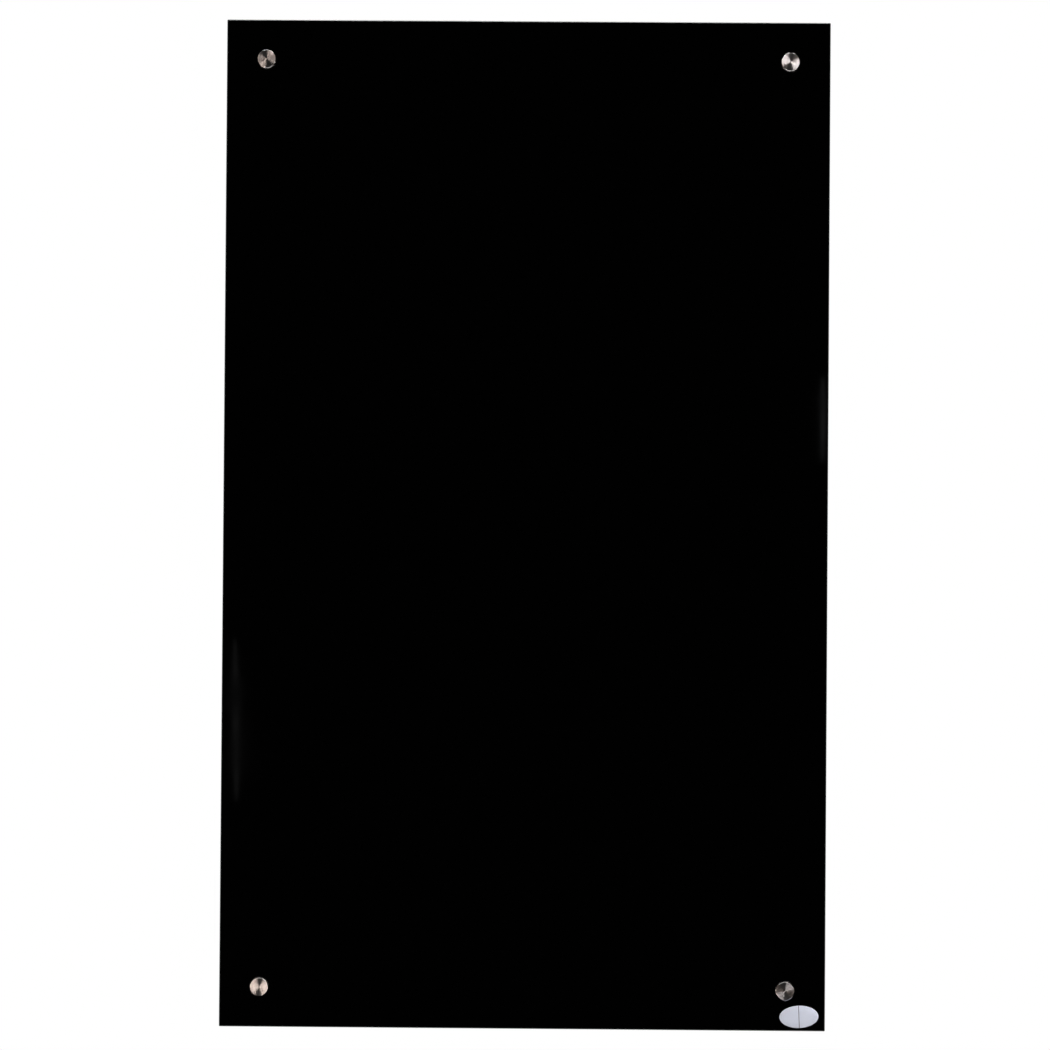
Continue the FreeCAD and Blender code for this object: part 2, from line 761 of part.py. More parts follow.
pad(box, posts, "box_floor - lid_seat", back=True)
pilots = new_sketch(box, "XZ_Plane", "lid_seat")
for side, level in CORNERS.values():
    draw_circle(pilots, f"{side} * boss_across", f"box_middle + {level} * boss_up",
                "lid_screw_diameter + 2 * screw_clearance")
pocket(box, pilots, "lid_screw_length", forward=True)
block_pilots = new_sketch(box, "XZ_Plane", "block_base")
for side in (-1, 1):
    draw_circle(block_pilots, f"{side} * pole_pitch / 2", "block_up",
                "block_screw_diameter + 2 * screw_clearance")
pocket(box, block_pilots, "block_screw_bite", forward=True)
top_hole = new_sketch(box, "XY_Plane", "tray_bottom")
draw_circle(top_hole, "0", "-wire_depth", "grommet_hole")
pocket(box, top_hole, "box_wall")
floor_holes = new_sketch(box, "XY_Plane", "box_bottom")
draw_circle(floor_holes, "-gland_offset", "-wire_depth", "gland_thread + 2 * gland_clearance")
draw_box(floor_holes, "switch_offset - switch_length / 2 - switch_clearance",
         "switch_offset + switch_length / 2 + switch_clearance",
         "-wire_depth - switch_width / 2 - switch_clearance",
         "-wire_depth + switch_width / 2 + switch_clearance")
pocket(box, floor_holes, "box_wall", forward=True)

# Bonding pad: foam tape that holds the box on the glass
tape = new_body("box_bonding_pad")
outline = new_sketch(tape, "XZ_Plane", "box_front")
draw_box(outline, "-box_side + box_pad_inset", "box_side - box_pad_inset",
         "box_bottom + box_pad_inset", "tray_bottom - box_pad_inset")
pad(tape, outline, "box_pad_thickness")

# Box lid: flat moulding a little smaller than the box, with locating ribs and four sunk screws
lid = new_body("box_lid")
outline = new_sketch(lid, "XZ_Plane", "lid_back")
draw_box(outline, "-box_side + lid_inset", "box_side - lid_inset",
         "box_bottom + lid_inset", "tray_bottom - lid_inset")
pad(lid, outline, "lid_thickness")
dress(lid, "Fillet", "box_corner_radius - lid_inset", runs_deep)
dress(lid, "Chamfer", "lid_edge_chamfer", lambda edge: lies_at(edge, "lid_back"))
ribs = new_sketch(lid, "XZ_Plane", "lid_seat")
rib_across = "box_side - lip_corner_gap"
rib_up = "box_height / 2 - lip_corner_gap"
for side in (-1, 1):
    outer_up = f"box_middle + {side} * (box_height / 2 - box_wall - lip_clearance)"
    draw_box(ribs, f"-({rib_across})", rib_across, outer_up, f"{outer_up} - {side} * lip_wall")
    outer_across = f"{side} * (box_side - box_wall - lip_clearance)"
    draw_box(ribs, outer_across, f"{outer_across} - {side} * lip_wall",
             f"box_middle - ({rib_up})", f"box_middle + {rib_up}")
pad(lid, ribs, "lip_height")
screw_holes = new_sketch(lid, "XZ_Plane", "lid_seat")
for side, level in CORNERS.values():
    draw_circle(screw_holes, f"{side} * boss_across", f"box_middle + {level} * boss_up",
                "lid_screw_diameter + 2 * screw_clearance")
pocket(lid, screw_holes, "lid_thickness")
dress(lid, "Chamfer", "(lid_screw_head - lid_screw_diameter) / 2",
      lambda edge: edge.Closed and lies_at(edge, "lid_back"))

# Lid screws: countersunk, flush with the lid, with a cross recess
screw = new_body("lid_screw", is_node=False)
head_depth = "(lid_screw_head - lid_screw_diameter) / 2 - screw_clearance"
turn(screw, "Y", [("0", "lid_back"), ("lid_screw_head / 2 - screw_clearance", "lid_back"),
                  ("lid_screw_diameter / 2", f"lid_back + {head_depth}"),
                  ("lid_screw_diameter / 2", "lid_back + lid_screw_length"),
                  ("0", "lid_back + lid_screw_length")])
cut_cross(screw, "lid_back")
add_copies("lid_screws", screw, [
    Placement(at(f"{side} * boss_across", "0", f"box_middle + {level} * boss_up"), Rotation())
    for side, level in CORNERS.values()])

# Terminal block: three brass tubes in a moulded strip, two clamp screws to each tube
block = new_body("terminal_block")
outline = new_sketch(block, "XZ_Plane", "block_face")
draw_box(outline, "-block_side", "block_side", "block_bottom", "block_top")
pad(block, outline, "block_height")
bores = new_sketch(block, "XY_Plane", "block_top")
poles = ["-pole_pitch", "0", "pole_pitch"]
for across in poles:
    draw_circle(bores, across, "-wire_depth", "tube_diameter + 2 * wire_clearance")
pocket(block, bores, "block_width")
wells = new_sketch(block, "XZ_Plane", "block_face")
screw_levels = ["block_up - terminal_screw_pitch / 2", "block_up + terminal_screw_pitch / 2"]
for across in poles:
    for level in screw_levels:
        draw_circle(wells, across, level, "terminal_well")
pocket(block, wells, "wire_depth - block_face", forward=True)
fixings = new_sketch(block, "XZ_Plane", "block_face")
for side in (-1, 1):
    draw_circle(fixings, f"{side} * pole_pitch / 2", "block_up",
                "block_screw_diameter + 2 * screw_clearance")
pocket(block, fixings, "block_height", forward=True)
sinks = new_sketch(block, "XZ_Plane", "block_face")
for side in (-1, 1):
    draw_circle(sinks, f"{side} * pole_pitch / 2", "block_up",
                "block_screw_head + 2 * screw_clearance")
pocket(block, sinks, "block_screw_sink + block_screw_head_height", forward=True)

tube = new_body("terminal_tube", is_node=False)
section = new_sketch(tube, "XY_Plane", "block_bottom")
draw_circle(section, "0", "-wire_depth", "tube_diameter")
draw_circle(section, "0", "-wire_depth", "tube_bore")
pad(tube, section, "block_width")
cross_holes = new_sketch(tube, "XZ_Plane", "wire_depth - tube_diameter")
for level in screw_levels:
    draw_circle(cross_holes, "0", level, "terminal_screw_diameter + 2 * screw_clearance")
pocket(tube, cross_holes, "tube_diameter", forward=True)
pole_places = [Placement(at(across, "0", "0"), Rotation()) for across in poles]
add_copies("terminal_tubes", tube, pole_places)

clamp = new_body("terminal_screw", is_node=False)
section = new_sketch(clamp, "XZ_Plane", "block_face + terminal_screw_sink")
for level in screw_levels:
    draw_circle(section, "0", level, "terminal_screw_diameter")
pad(clamp, section, "wire_depth - wire_diameter / 2 - wire_clearance - block_face - terminal_screw_sink")
driver_slots = new_sketch(clamp, "XZ_Plane", "block_face + terminal_screw_sink")
for level in screw_levels:
    draw_box(driver_slots, "-terminal_screw_diameter", "terminal_screw_diameter",
             f"{level} - driver_slot_width / 2", f"{level} + driver_slot_width / 2")
pocket(clamp, driver_slots, "driver_slot_depth", forward=True)
add_copies("terminal_screws", clamp, pole_places)

fixing = new_body("block_screw", is_node=False)
head_seat = "block_face + block_screw_sink + block_screw_head_height"
turn(fixing, "Y", [("0", "block_face + block_screw_sink"),
                   ("block_screw_head / 2", "block_face + block_screw_sink"),
                   ("block_screw_head / 2", head_seat), ("block_screw_diameter / 2", head_seat),
                   ("block_screw_diameter / 2", "block_base + block_screw_bite"),
                   ("0", "block_base + block_screw_bite")])
cut_cross(fixing, "block_face + block_screw_sink")
add_copies("block_screws", fixing, [
    Placement(at(f"{side} * pole_pitch / 2", "0", "block_up"), Rotation()) for side in (-1, 1)])

# Rocker switch: bezel under the box, body through its floor, and a rocker on two trunnions
switch = new_body("switch_body")
stem = new_sketch(switch, "XY_Plane", "box_bottom")
draw_box(stem, "-switch_length / 2", "switch_length / 2", "-switch_width / 2", "switch_width / 2")
pad(switch, stem, "switch_depth")
bezel = new_sketch(switch, "XY_Plane", "box_bottom")
draw_box(bezel, "-bezel_length / 2", "bezel_length / 2", "-bezel_width / 2", "bezel_width / 2")
pad(switch, bezel, "bezel_height", back=True)
dress(switch, "Fillet", "bezel_height / 2",
      lambda edge: near(edge.BoundBox.ZMax, "box_bottom - bezel_height"))
well = new_sketch(switch, "XY_Plane", "box_bottom - bezel_height")
crease = "-(bezel_height + rocker_pivot_rise + rocker_lift) / cos(rocker_tilt * 1deg)"
tip = f"{crease} - rocker_length / 2 * tan(rocker_tilt * 1deg)"
well_across = (f"rocker_length / 2 * cos(rocker_tilt * 1deg) - ({tip}) * sin(rocker_tilt * 1deg)"
               " + rocker_clearance")
well_deep = "rocker_width / 2 + rocker_clearance"
draw_box(well, f"-({well_across})", well_across, f"-({well_deep})", well_deep)
pocket(switch, well, "rocker_well_depth", forward=True)
trunnion_holes = new_sketch(switch, "XZ_Plane", "rocker_width / 2 + rocker_clearance + pivot_reach")
draw_circle(trunnion_holes, "0", "pivot_up", "pivot_diameter + 2 * pivot_clearance")
pocket(switch, trunnion_holes, "rocker_width + 2 * rocker_clearance + 2 * pivot_reach")
slots = new_sketch(switch, "XY_Plane", "switch_top")
slot_half = "tab_thickness / 2 + tab_clearance"
for side in (-1, 1):
    middle = f"{side} * switch_tab_spacing / 2"
    draw_box(slots, f"{middle} - ({slot_half})", f"{middle} + {slot_half}",
             f"-({tab_half})", tab_half)
pocket(switch, slots, "tab_root")
place(switch, "switch_offset", "wire_depth", "0")

switch_tabs = new_body("switch_tabs")
tabs = new_sketch(switch_tabs, "XY_Plane", "switch_top - tab_root")
for side in (-1, 1):
    middle = f"{side} * switch_tab_spacing / 2"
    draw_box(tabs, f"{middle} - tab_thickness / 2", f"{middle} + tab_thickness / 2",
             "-tab_width / 2", "tab_width / 2")
pad(switch_tabs, tabs, "tab_root + tab_length")
place(switch_tabs, "switch_offset", "wire_depth", "0")

# The rocker's face is a shallow V; at rest one half of it lies level with the bezel
rocker = new_body("switch_rocker")
face = new_sketch(rocker, "XZ_Plane", "-rocker_width / 2")
draw_outline(face, [("0", crease), ("rocker_length / 2", tip), ("rocker_length / 2", "rocker_skirt"),
                    ("0", "rocker_keel"), ("-rocker_length / 2", "rocker_skirt"),
                    ("-rocker_length / 2", tip)])
pad(rocker, face, "rocker_width")
trunnion = new_sketch(rocker, "XZ_Plane", "-rocker_width / 2 - rocker_clearance - pivot_reach")
draw_circle(trunnion, "0", "0", "pivot_diameter")
pad(rocker, trunnion, "rocker_width + 2 * rocker_clearance + 2 * pivot_reach")
rocker.Placement = Placement(Vector(), Rotation(Vector(0, 1, 0), mm("rocker_tilt")))
rocker.setExpression("Placement.Rotation.Angle", sized("rocker_tilt * 1deg"))
place(rocker, "switch_offset", "wire_depth", "pivot_up")

# Push-on receptacles: one on each tab of the cutout and the switch
receptacle = new_body("push_on_receptacle", is_node=False)
sleeve = new_sketch(receptacle, "YZ_Plane", "0")
draw_box(sleeve, "-tab_thickness / 2 - tab_clearance - sleeve_wall",
         "tab_thickness / 2 + tab_clearance + sleeve_wall",
         "-tab_width / 2 - tab_clearance - sleeve_wall", "tab_width / 2 + tab_clearance + sleeve_wall")
pad(receptacle, sleeve, "sleeve_length")
crimp = new_sketch(receptacle, "YZ_Plane", "sleeve_length")
draw_circle(crimp, "0", "0", "tube_bore + 2 * barrel_wall")
pad(receptacle, crimp, "crimp_length")
slot = new_sketch(receptacle, "YZ_Plane", "0")
draw_box(slot, "-tab_thickness / 2 - tab_clearance", "tab_thickness / 2 + tab_clearance",
         f"-({tab_half})", tab_half)
pocket(receptacle, slot, "sleeve_length", forward=True)
crimp_bore = new_sketch(receptacle, "YZ_Plane", "sleeve_length + crimp_length")
draw_circle(crimp_bore, "0", "0", "tube_bore")
pocket(receptacle, crimp_bore, "crimp_length")
sleeve_start = "tab_length - sleeve_length"
cutout_side = f"cutout_body_diameter / 2 + {sleeve_start}"
upright = Rotation(Vector(1, 1, 1), -120)
add_copies("push_on_receptacles", receptacle, [
    Placement(at(f"cutout_offset + {cutout_side}", "wire_depth", "tail_up"), Rotation()),
    Placement(at(f"cutout_offset - ({cutout_side})", "wire_depth", "tail_up"),
              Rotation(Vector(0, 0, 1), 180)),
    Placement(at("switch_offset - switch_tab_spacing / 2", "wire_depth",
                 f"switch_top + {sleeve_start}"), upright),
    Placement(at("switch_offset + switch_tab_spacing / 2", "wire_depth",
                 f"switch_top + {sleeve_start}"), upright)])

# Crimp splices: tubes that join the cable's tails to the wires
splice = new_body("crimp_splice", is_node=False)
section = new_sketch(splice, "YZ_Plane", "splice_offset")
draw_circle(section, "-wire_depth", "tail_up", "splice_diameter")
draw_circle(section, "-wire_depth", "tail_up", "cable_diameter + 2 * wire_clearance")
pad(splice, section, "splice_length")
add_copies("crimp_splices", splice, [
    Placement(), Placement(at("-2 * splice_offset - splice_length", "0", "0"), Rotation())])

# Grommet: rubber bush where the wires pass from the box into the tray
grommet = new_body("wire_grommet")
turn(grommet, "Z", [
    ("grommet_bore / 2", "box_roof - grommet_lip"),
    ("grommet_flange / 2", "box_roof - grommet_lip"), ("grommet_flange / 2", "box_roof"),
    ("grommet_hole / 2", "box_roof"), ("grommet_hole / 2", "tray_bottom + sheet_thickness"),
    ("grommet_flange / 2", "tray_bottom + sheet_thickness"),
    ("grommet_flange / 2", "tray_bottom + sheet_thickness + grommet_lip"),
    ("grommet_bore / 2", "tray_bottom + sheet_thickness + grommet_lip")])
place(grommet, "0", "wire_depth", "0")

# Earth connection: a stud welded to the tray, with a ring terminal under a washer and nut
earth_up = "tray_bottom + earth_height"
earth_stud = new_body("earth_stud")
turn(earth_stud, "Y", [("0", "tray_floor"), ("earth_stud_diameter / 2", "tray_floor"),
                       ("earth_stud_diameter / 2", "tray_floor + earth_stud_length"),
                       ("0", "tray_floor + earth_stud_length")])
place(earth_stud, "-earth_offset", "0", earth_up)

earth_bore = "earth_stud_diameter + 2 * earth_clearance"
earth_ring = new_body("earth_ring")
barrel_outer = "tube_bore + 2 * barrel_wall"
barrel_up = f"tray_floor + ({barrel_outer}) / 2"
plate = new_sketch(earth_ring, "XZ_Plane", "tray_floor")
draw_circle(plate, "0", "0", "ring_diameter")
pad(earth_ring, plate, "ring_thickness")
tongue = new_sketch(earth_ring, "XZ_Plane", "tray_floor")
draw_box(tongue, "ring_diameter / 4", "ring_reach", f"-({barrel_outer}) / 2", f"({barrel_outer}) / 2")
pad(earth_ring, tongue, "ring_thickness")
crimp = new_sketch(earth_ring, "YZ_Plane", "ring_reach - ring_thickness")
draw_circle(crimp, f"-({barrel_up})", "0", barrel_outer)
pad(earth_ring, crimp, "crimp_length")
crimp_bore = new_sketch(earth_ring, "YZ_Plane", "ring_reach - ring_thickness")
draw_circle(crimp_bore, f"-({barrel_up})", "0", "tube_bore")
pocket(earth_ring, crimp_bore, "crimp_length", forward=True)
eye = new_sketch(earth_ring, "XZ_Plane", "tray_floor")
draw_circle(eye, "0", "0", earth_bore)
pocket(earth_ring, eye, "ring_thickness", forward=True)
place(earth_ring, "-earth_offset", "0", earth_up)

washer_back = "tray_floor + ring_thickness"
nut_back = f"{washer_back} + earth_washer_thickness"
earth_washer = new_body("earth_washer")
turn(earth_washer, "Y", [(f"({earth_bore}) / 2", washer_back), ("ring_diameter / 2", washer_back),
                         ("ring_diameter / 2", nut_back), (f"({earth_bore}) / 2", nut_back)])
place(earth_washer, "-earth_offset", "0", earth_up)

earth_nut = new_body("earth_nut")
hexagon = new_sketch(earth_nut, "XZ_Plane", nut_back)
draw_hexagon(hexagon, "earth_nut_flats")
draw_circle(hexagon, "0", "0", earth_bore)
pad(earth_nut, hexagon, "earth_nut_height")
place(earth_nut, "-earth_offset", "0", earth_up)

# Wires, each from its terminal tube or tab to where it is crimped
wire_bend = mm("wire_bend")
tight_bend = mm("tight_bend")
tube_end = "block_top - tube_grip"
switch_left = "switch_offset - switch_tab_spacing / 2"
switch_right = "switch_offset + switch_tab_spacing / 2"
cutout_crimp = "cutout_body_diameter / 2 + tab_length + crimp_length - crimp_grip"
add_wire("live_wire", [
    (at("pole_pitch", "wire_depth", tube_end), 0),
    (at("pole_pitch", "wire_depth", "live_run"), tight_bend),
    (at(switch_left, "wire_depth", "live_run"), tight_bend),
    (at(switch_left, "wire_depth", "crimp_tip"), 0)])
add_wire("switched_live_wire", [
    (at(switch_right, "wire_depth", "crimp_tip"), 0),
    (at(switch_right, "wire_depth", "switched_run"), wire_bend),
    (at("wire_pitch", "wire_depth", "switched_run"), tight_bend),
    (at("wire_pitch", "wire_depth", "tail_up"), wire_bend),
    (at(f"cutout_offset - ({cutout_crimp})", "wire_depth", "tail_up"), 0)])
add_wire("cutout_wire", [
    (at(f"cutout_offset + {cutout_crimp}", "wire_depth", "tail_up"), 0),
    (at("splice_offset + splice_grip", "wire_depth", "tail_up"), 0)])
add_wire("neutral_wire", [
    (at("0", "wire_depth", tube_end), 0),
    (at("0", "wire_depth", "tail_up"), wire_bend),
    (at("-splice_offset - splice_grip", "wire_depth", "tail_up"), 0)])
ring_mouth = "-earth_offset + ring_reach - ring_thickness + crimp_length"
add_wire("earth_wire", [
    (at("-pole_pitch", "wire_depth", tube_end), 0),
    (at("-pole_pitch", "wire_depth", "live_run"), wire_bend),
    (at("-wire_pitch", "wire_depth", "box_roof - grommet_lip - wire_diameter"), wire_bend),
    (at("-wire_pitch", "wire_depth", "tray_bottom + earth_height / 2"), wire_bend),
    (at(f"{ring_mouth} + 2 * wire_diameter", barrel_up, earth_up), wire_bend),
    (at(f"{ring_mouth} - crimp_grip", barrel_up, earth_up), 0)])

# Cable gland: body through the box floor, locknut inside, seal squeezed by the dome nut
hex_bottom = "box_bottom - gland_flange"
collar_bottom = f"{hex_bottom} - gland_collar"
seal_top = f"{collar_bottom} + seal_seat_depth"
gland = new_body("gland_body")
hexagon = new_sketch(gland, "XY_Plane", "box_bottom")
draw_hexagon(hexagon, "gland_flats")
pad(gland, hexagon, "gland_flange", back=True)
turn(gland, "Z", [("0", collar_bottom), ("gland_thread / 2", collar_bottom),
                  ("gland_thread / 2", "box_bottom + gland_inner_length"),
                  ("0", "box_bottom + gland_inner_length")])
through = new_sketch(gland, "XY_Plane", "box_bottom + gland_inner_length")
draw_circle(through, "0", "0", "gland_bore")
pocket(gland, through, "gland_inner_length + gland_flange + gland_collar")
seat = new_sketch(gland, "XY_Plane", collar_bottom)
draw_circle(seat, "0", "0", "seal_diameter + 2 * gland_clearance")
pocket(gland, seat, "seal_seat_depth", forward=True)
place(gland, "-gland_offset", "wire_depth", "0")

locknut = new_body("gland_locknut")
hexagon = new_sketch(locknut, "XY_Plane", "box_sill")
draw_hexagon(hexagon, "gland_flats")
draw_circle(hexagon, "0", "0", "gland_thread + 2 * gland_clearance")
pad(locknut, hexagon, "locknut_height")
place(locknut, "-gland_offset", "wire_depth", "0")

seal = new_body("gland_seal")
turn(seal, "Z", [("seal_bore / 2", f"{seal_top} - seal_length"),
                 ("seal_diameter / 2", f"{seal_top} - seal_length"),
                 ("seal_diameter / 2", seal_top), ("seal_bore / 2", seal_top)])
place(seal, "-gland_offset", "wire_depth", "0")

dome_top = f"{hex_bottom} - dome_gap"
dome_neck = f"{dome_top} - dome_hex_length"
dome = new_body("gland_dome_nut")
hexagon = new_sketch(dome, "XY_Plane", dome_top)
draw_hexagon(hexagon, "gland_flats")
pad(dome, hexagon, "dome_hex_length", back=True)
turn(dome, "Z", [("0", dome_neck), ("gland_flats / 2", dome_neck),
                 ("gland_flats / 2", f"{dome_neck} - dome_shoulder"),
                 ("dome_tip_diameter / 2", f"{dome_neck} - dome_length"),
                 ("0", f"{dome_neck} - dome_length")])
thread = new_sketch(dome, "XY_Plane", dome_top)
draw_circle(thread, "0", "0", "gland_thread + 2 * gland_clearance")
pocket(dome, thread, f"{dome_top} - ({seal_top} - seal_length)")
throat = new_sketch(dome, "XY_Plane", dome_top)
draw_circle(throat, "0", "0", "dome_mouth")
pocket(dome, throat, "dome_hex_length + dome_length")
place(dome, "-gland_offset", "wire_depth", "0")

# Every object has to be sound before anything is written
doc.recompute()
for item in doc.Objects:
    if "Invalid" in item.State or "Error" in item.State:
        raise ValueError(item.Label + " did not recompute")
os.makedirs("parts", exist_ok=True)
for node in nodes:
    if node.Shape.isNull() or not node.Shape.isValid():
        raise ValueError(node.Label + " is not a valid solid")
for node in nodes:
    node.Shape.exportStep(f"parts/{node.Label}.step")
print(len(nodes), "nodes written")
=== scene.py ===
import math
import bmesh
import bpy
from mathutils import Matrix, Vector


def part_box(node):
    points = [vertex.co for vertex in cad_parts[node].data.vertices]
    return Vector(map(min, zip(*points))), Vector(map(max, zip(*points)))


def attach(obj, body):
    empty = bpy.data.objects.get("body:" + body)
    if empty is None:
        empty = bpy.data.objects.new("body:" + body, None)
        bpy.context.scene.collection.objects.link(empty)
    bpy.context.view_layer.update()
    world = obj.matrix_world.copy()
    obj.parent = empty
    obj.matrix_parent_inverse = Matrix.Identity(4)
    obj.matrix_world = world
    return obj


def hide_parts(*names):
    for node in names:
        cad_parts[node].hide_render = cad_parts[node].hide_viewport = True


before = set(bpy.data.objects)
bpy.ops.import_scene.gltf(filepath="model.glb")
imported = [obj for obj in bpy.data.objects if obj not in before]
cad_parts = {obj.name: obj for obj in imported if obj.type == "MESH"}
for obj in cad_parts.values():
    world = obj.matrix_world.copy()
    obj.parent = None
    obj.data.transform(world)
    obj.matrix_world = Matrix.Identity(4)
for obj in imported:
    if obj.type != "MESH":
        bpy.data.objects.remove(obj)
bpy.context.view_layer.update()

# Camera: a long lens nearly square to the glass and a little below its middle. The heater
# stands a touch crooked in the picture, so the camera is panned, tilted and rolled slightly.
CAMERA_PLACE = Vector((0.0261, -3.2, -0.0441))
CAMERA_PAN = math.radians(-0.476)
CAMERA_TILT = math.radians(0.777)
CAMERA_ROLL = math.radians(0.416)
LENS_MM = 109.53
SENSOR_MM = 36


def link(thing):
    """Puts a new object into the scene."""
    bpy.context.scene.collection.objects.link(thing)
    return thing


def facing(place, ahead, roll=0.0):
    """The matrix of a camera or lamp at a place that looks ahead, rolled about its own line."""
    level = Vector((ahead.y, -ahead.x, 0)).normalized()
    upright = level.cross(ahead)
    right = level * math.cos(roll) + upright * math.sin(roll)
    up = upright * math.cos(roll) - level * math.sin(roll)
    return Matrix.Translation(place) @ Matrix((right, up, -ahead)).transposed().to_4x4()


camera = link(bpy.data.objects.new("camera", bpy.data.cameras.new("camera")))
camera.data.lens = LENS_MM
camera.data.sensor_width = SENSOR_MM
camera_line = Vector((math.sin(CAMERA_PAN) * math.cos(CAMERA_TILT),
                      math.cos(CAMERA_PAN) * math.cos(CAMERA_TILT), math.sin(CAMERA_TILT)))
camera.matrix_world = facing(CAMERA_PLACE, camera_line, CAMERA_ROLL)
bpy.context.scene.camera = camera

# Studio: plain white paper behind and a pale round floor well below the heater, as it hangs
# on a wall. The room is dark to reflections, so that black glass stays black. Soft boxes near
# its edges light the spun caps, and the rest light the glass, the film, the back and the floor.
PAPER_COLOUR = (1, 1, 1, 1)
PAPER_WHITE = 1.0
PAPER_SHEEN = 0.34
PAPER_FADE = (0.02, 0.55)
ROOM_GLOW = 0.006
FLOOR_LEVEL = -1.9
FLOOR_RADIUS = 3.6
FLOOR_FADE = 1.1
FLOOR_SIDES = 96
FLOOR_COLOUR = (0.82, 0.82, 0.81, 1)
PLAIN_WHITE = (1, 1, 1)
SOFT_WHITE = (1, 0.96, 0.965)
WARM_WHITE = (1, 0.85, 0.77)
COOL_WHITE = (0.94, 0.96, 1)
SOFT_BOXES = {
    # name: place, what it faces, width, height, watts, colour
    "strip_left_upper": ((-0.597, -0.35, 0.525), (-0.597, 0.65, 0.525), 0.14, 0.45, 1.1, WARM_WHITE),
    "strip_left_lower": ((-0.597, -0.35, -0.35), (-0.597, 0.65, -0.35), 0.14, 1.30, 12.3, WARM_WHITE),
    "strip_right_upper": ((0.565, -0.35, 0.32), (0.565, 0.65, 0.32), 0.14, 0.64, 6.1, SOFT_WHITE),
    "strip_right_lower": ((0.565, -0.35, -0.225), (0.565, 0.65, -0.225), 0.14, 0.45, 1.75, SOFT_WHITE),
    "sheet_left": ((-2.3, -2.1, -0.1), (0, 0, 0), 1.3, 2.6, 8.5, PLAIN_WHITE),
    "sheet_right": ((2.3, -2.1, -0.1), (0, 0, 0), 1.3, 2.6, 6.5, PLAIN_WHITE),
    "glint_left": ((-0.626, -3.2, -0.348), (-0.30, 0, -0.15), 0.016, 0.34, 0.0019, PLAIN_WHITE),
    "glint_right": ((0.522, -3.2, 0.257), (0.29, 0, 0.11), 0.009, 0.18, 0.00097, COOL_WHITE),
    "rim_low": ((0, -0.22, -0.75), (0, -0.03, 0.46), 2.0, 0.3, 4.0, PLAIN_WHITE),
    "rim_high": ((0, -0.22, 0.75), (0, -0.03, -0.46), 2.0, 0.3, 4.0, PLAIN_WHITE),
    "film_light": ((0.95, -1.25, -0.2), (0.274, -0.031, -0.486), 0.5, 0.5, 6.2, PLAIN_WHITE),
    "box_back_left": ((-1.9, 2.2, 0.7), (0, 0, 0), 1.6, 2.2, 12, PLAIN_WHITE),
    "box_back_right": ((1.9, 2.2, 0.7), (0, 0, 0), 1.6, 2.2, 9, PLAIN_WHITE),
    "box_above": ((0, 0.9, 2.4), (0, 0.6, -1.35), 2.6, 1.6, 120, PLAIN_WHITE),
    "side_left": ((-2.4, 0.5, 0.4), (-0.24, 0, 0), 1.2, 2.2, 30, PLAIN_WHITE),
    "side_right": ((2.4, 0.5, 0.4), (0.24, 0, 0), 1.2, 2.2, 25, PLAIN_WHITE),
}


class Shade:
    """A socket of one node tree. Sums, differences, products and quotients add Math nodes."""

    def __init__(self, tree, socket=None):
        self.tree = tree
        self.socket = socket

    def node(self, kind, settings, inputs, output=0):
        """Adds a node: its settings first, then values or links for its sockets."""
        made = self.tree.nodes.new(kind)
        for name, value in settings.items():
            setattr(made, name, value)
        for name, value in inputs.items():
            if isinstance(value, Shade):
                self.tree.links.new(value.socket, made.inputs[name])
            else:
                made.inputs[name].default_value = value
        return Shade(self.tree, made.outputs[output] if made.outputs else None)

    def reckon(self, operation, first, second):
        """Adds a Math node of two values."""
        return self.node("ShaderNodeMath", {"operation": operation}, {0: first, 1: second})

    def __add__(self, other):
        return self.reckon("ADD", self, other)

    def __sub__(self, other):
        return self.reckon("SUBTRACT", self, other)

    def __mul__(self, other):
        return self.reckon("MULTIPLY", self, other)

    def __truediv__(self, other):
        return self.reckon("DIVIDE", self, other)

    def __radd__(self, other):
        return self.reckon("ADD", other, self)

    def __rsub__(self, other):
        return self.reckon("SUBTRACT", other, self)

    def __rmul__(self, other):
        return self.reckon("MULTIPLY", other, self)

    def __rtruediv__(self, other):
        return self.reckon("DIVIDE", other, self)

    def __abs__(self):
        return self.reckon("ABSOLUTE", self, 0)


def step_between(value, low, high):
    """0 below low, 1 above high, and a smooth rise between them."""
    return value.node("ShaderNodeMapRange", {"interpolation_type": "SMOOTHSTEP"},
                      {"Value": value, "From Min": low, "From Max": high})


def part_of(vector, axis):
    """One of the three numbers of a vector."""
    return vector.node("ShaderNodeSeparateXYZ", {}, {"Vector": vector}, axis)


def stretched(vector, factors):
    """A vector with each of its numbers multiplied."""
    return vector.node("ShaderNodeVectorMath", {"operation": "MULTIPLY"}, {0: vector, 1: factors})


def place_of(start):
    """A point's own place on the piece, in metres."""
    return start.node("ShaderNodeTexCoord", {}, {}, "Object")


def from_axis(place):
    """How far a point lies from the Z axis of its piece."""
    flat = stretched(place, (1, 1, 0))
    return place.node("ShaderNodeVectorMath", {"operation": "LENGTH"}, {0: flat}, "Value")


def new_material(name):
    """An empty material and the start of its tree."""
    material = bpy.data.materials.new(name)
    material.use_nodes = True
    material.node_tree.nodes.clear()
    return material, Shade(material.node_tree)


def lamp(name, place, target, width, height, watts, colour):
    """A soft box: an area lamp that the camera doesn't see."""
    data = bpy.data.lights.new(name, "AREA")
    data.shape = "ELLIPSE" if name.startswith("glint") else "RECTANGLE"
    data.size = width
    data.size_y = height
    data.energy = watts
    data.color = colour
    box = link(bpy.data.objects.new(name, data))
    ahead = (Vector(target) - Vector(place)).normalized()
    box.matrix_world = facing(Vector(place), ahead)
    box.visible_camera = False


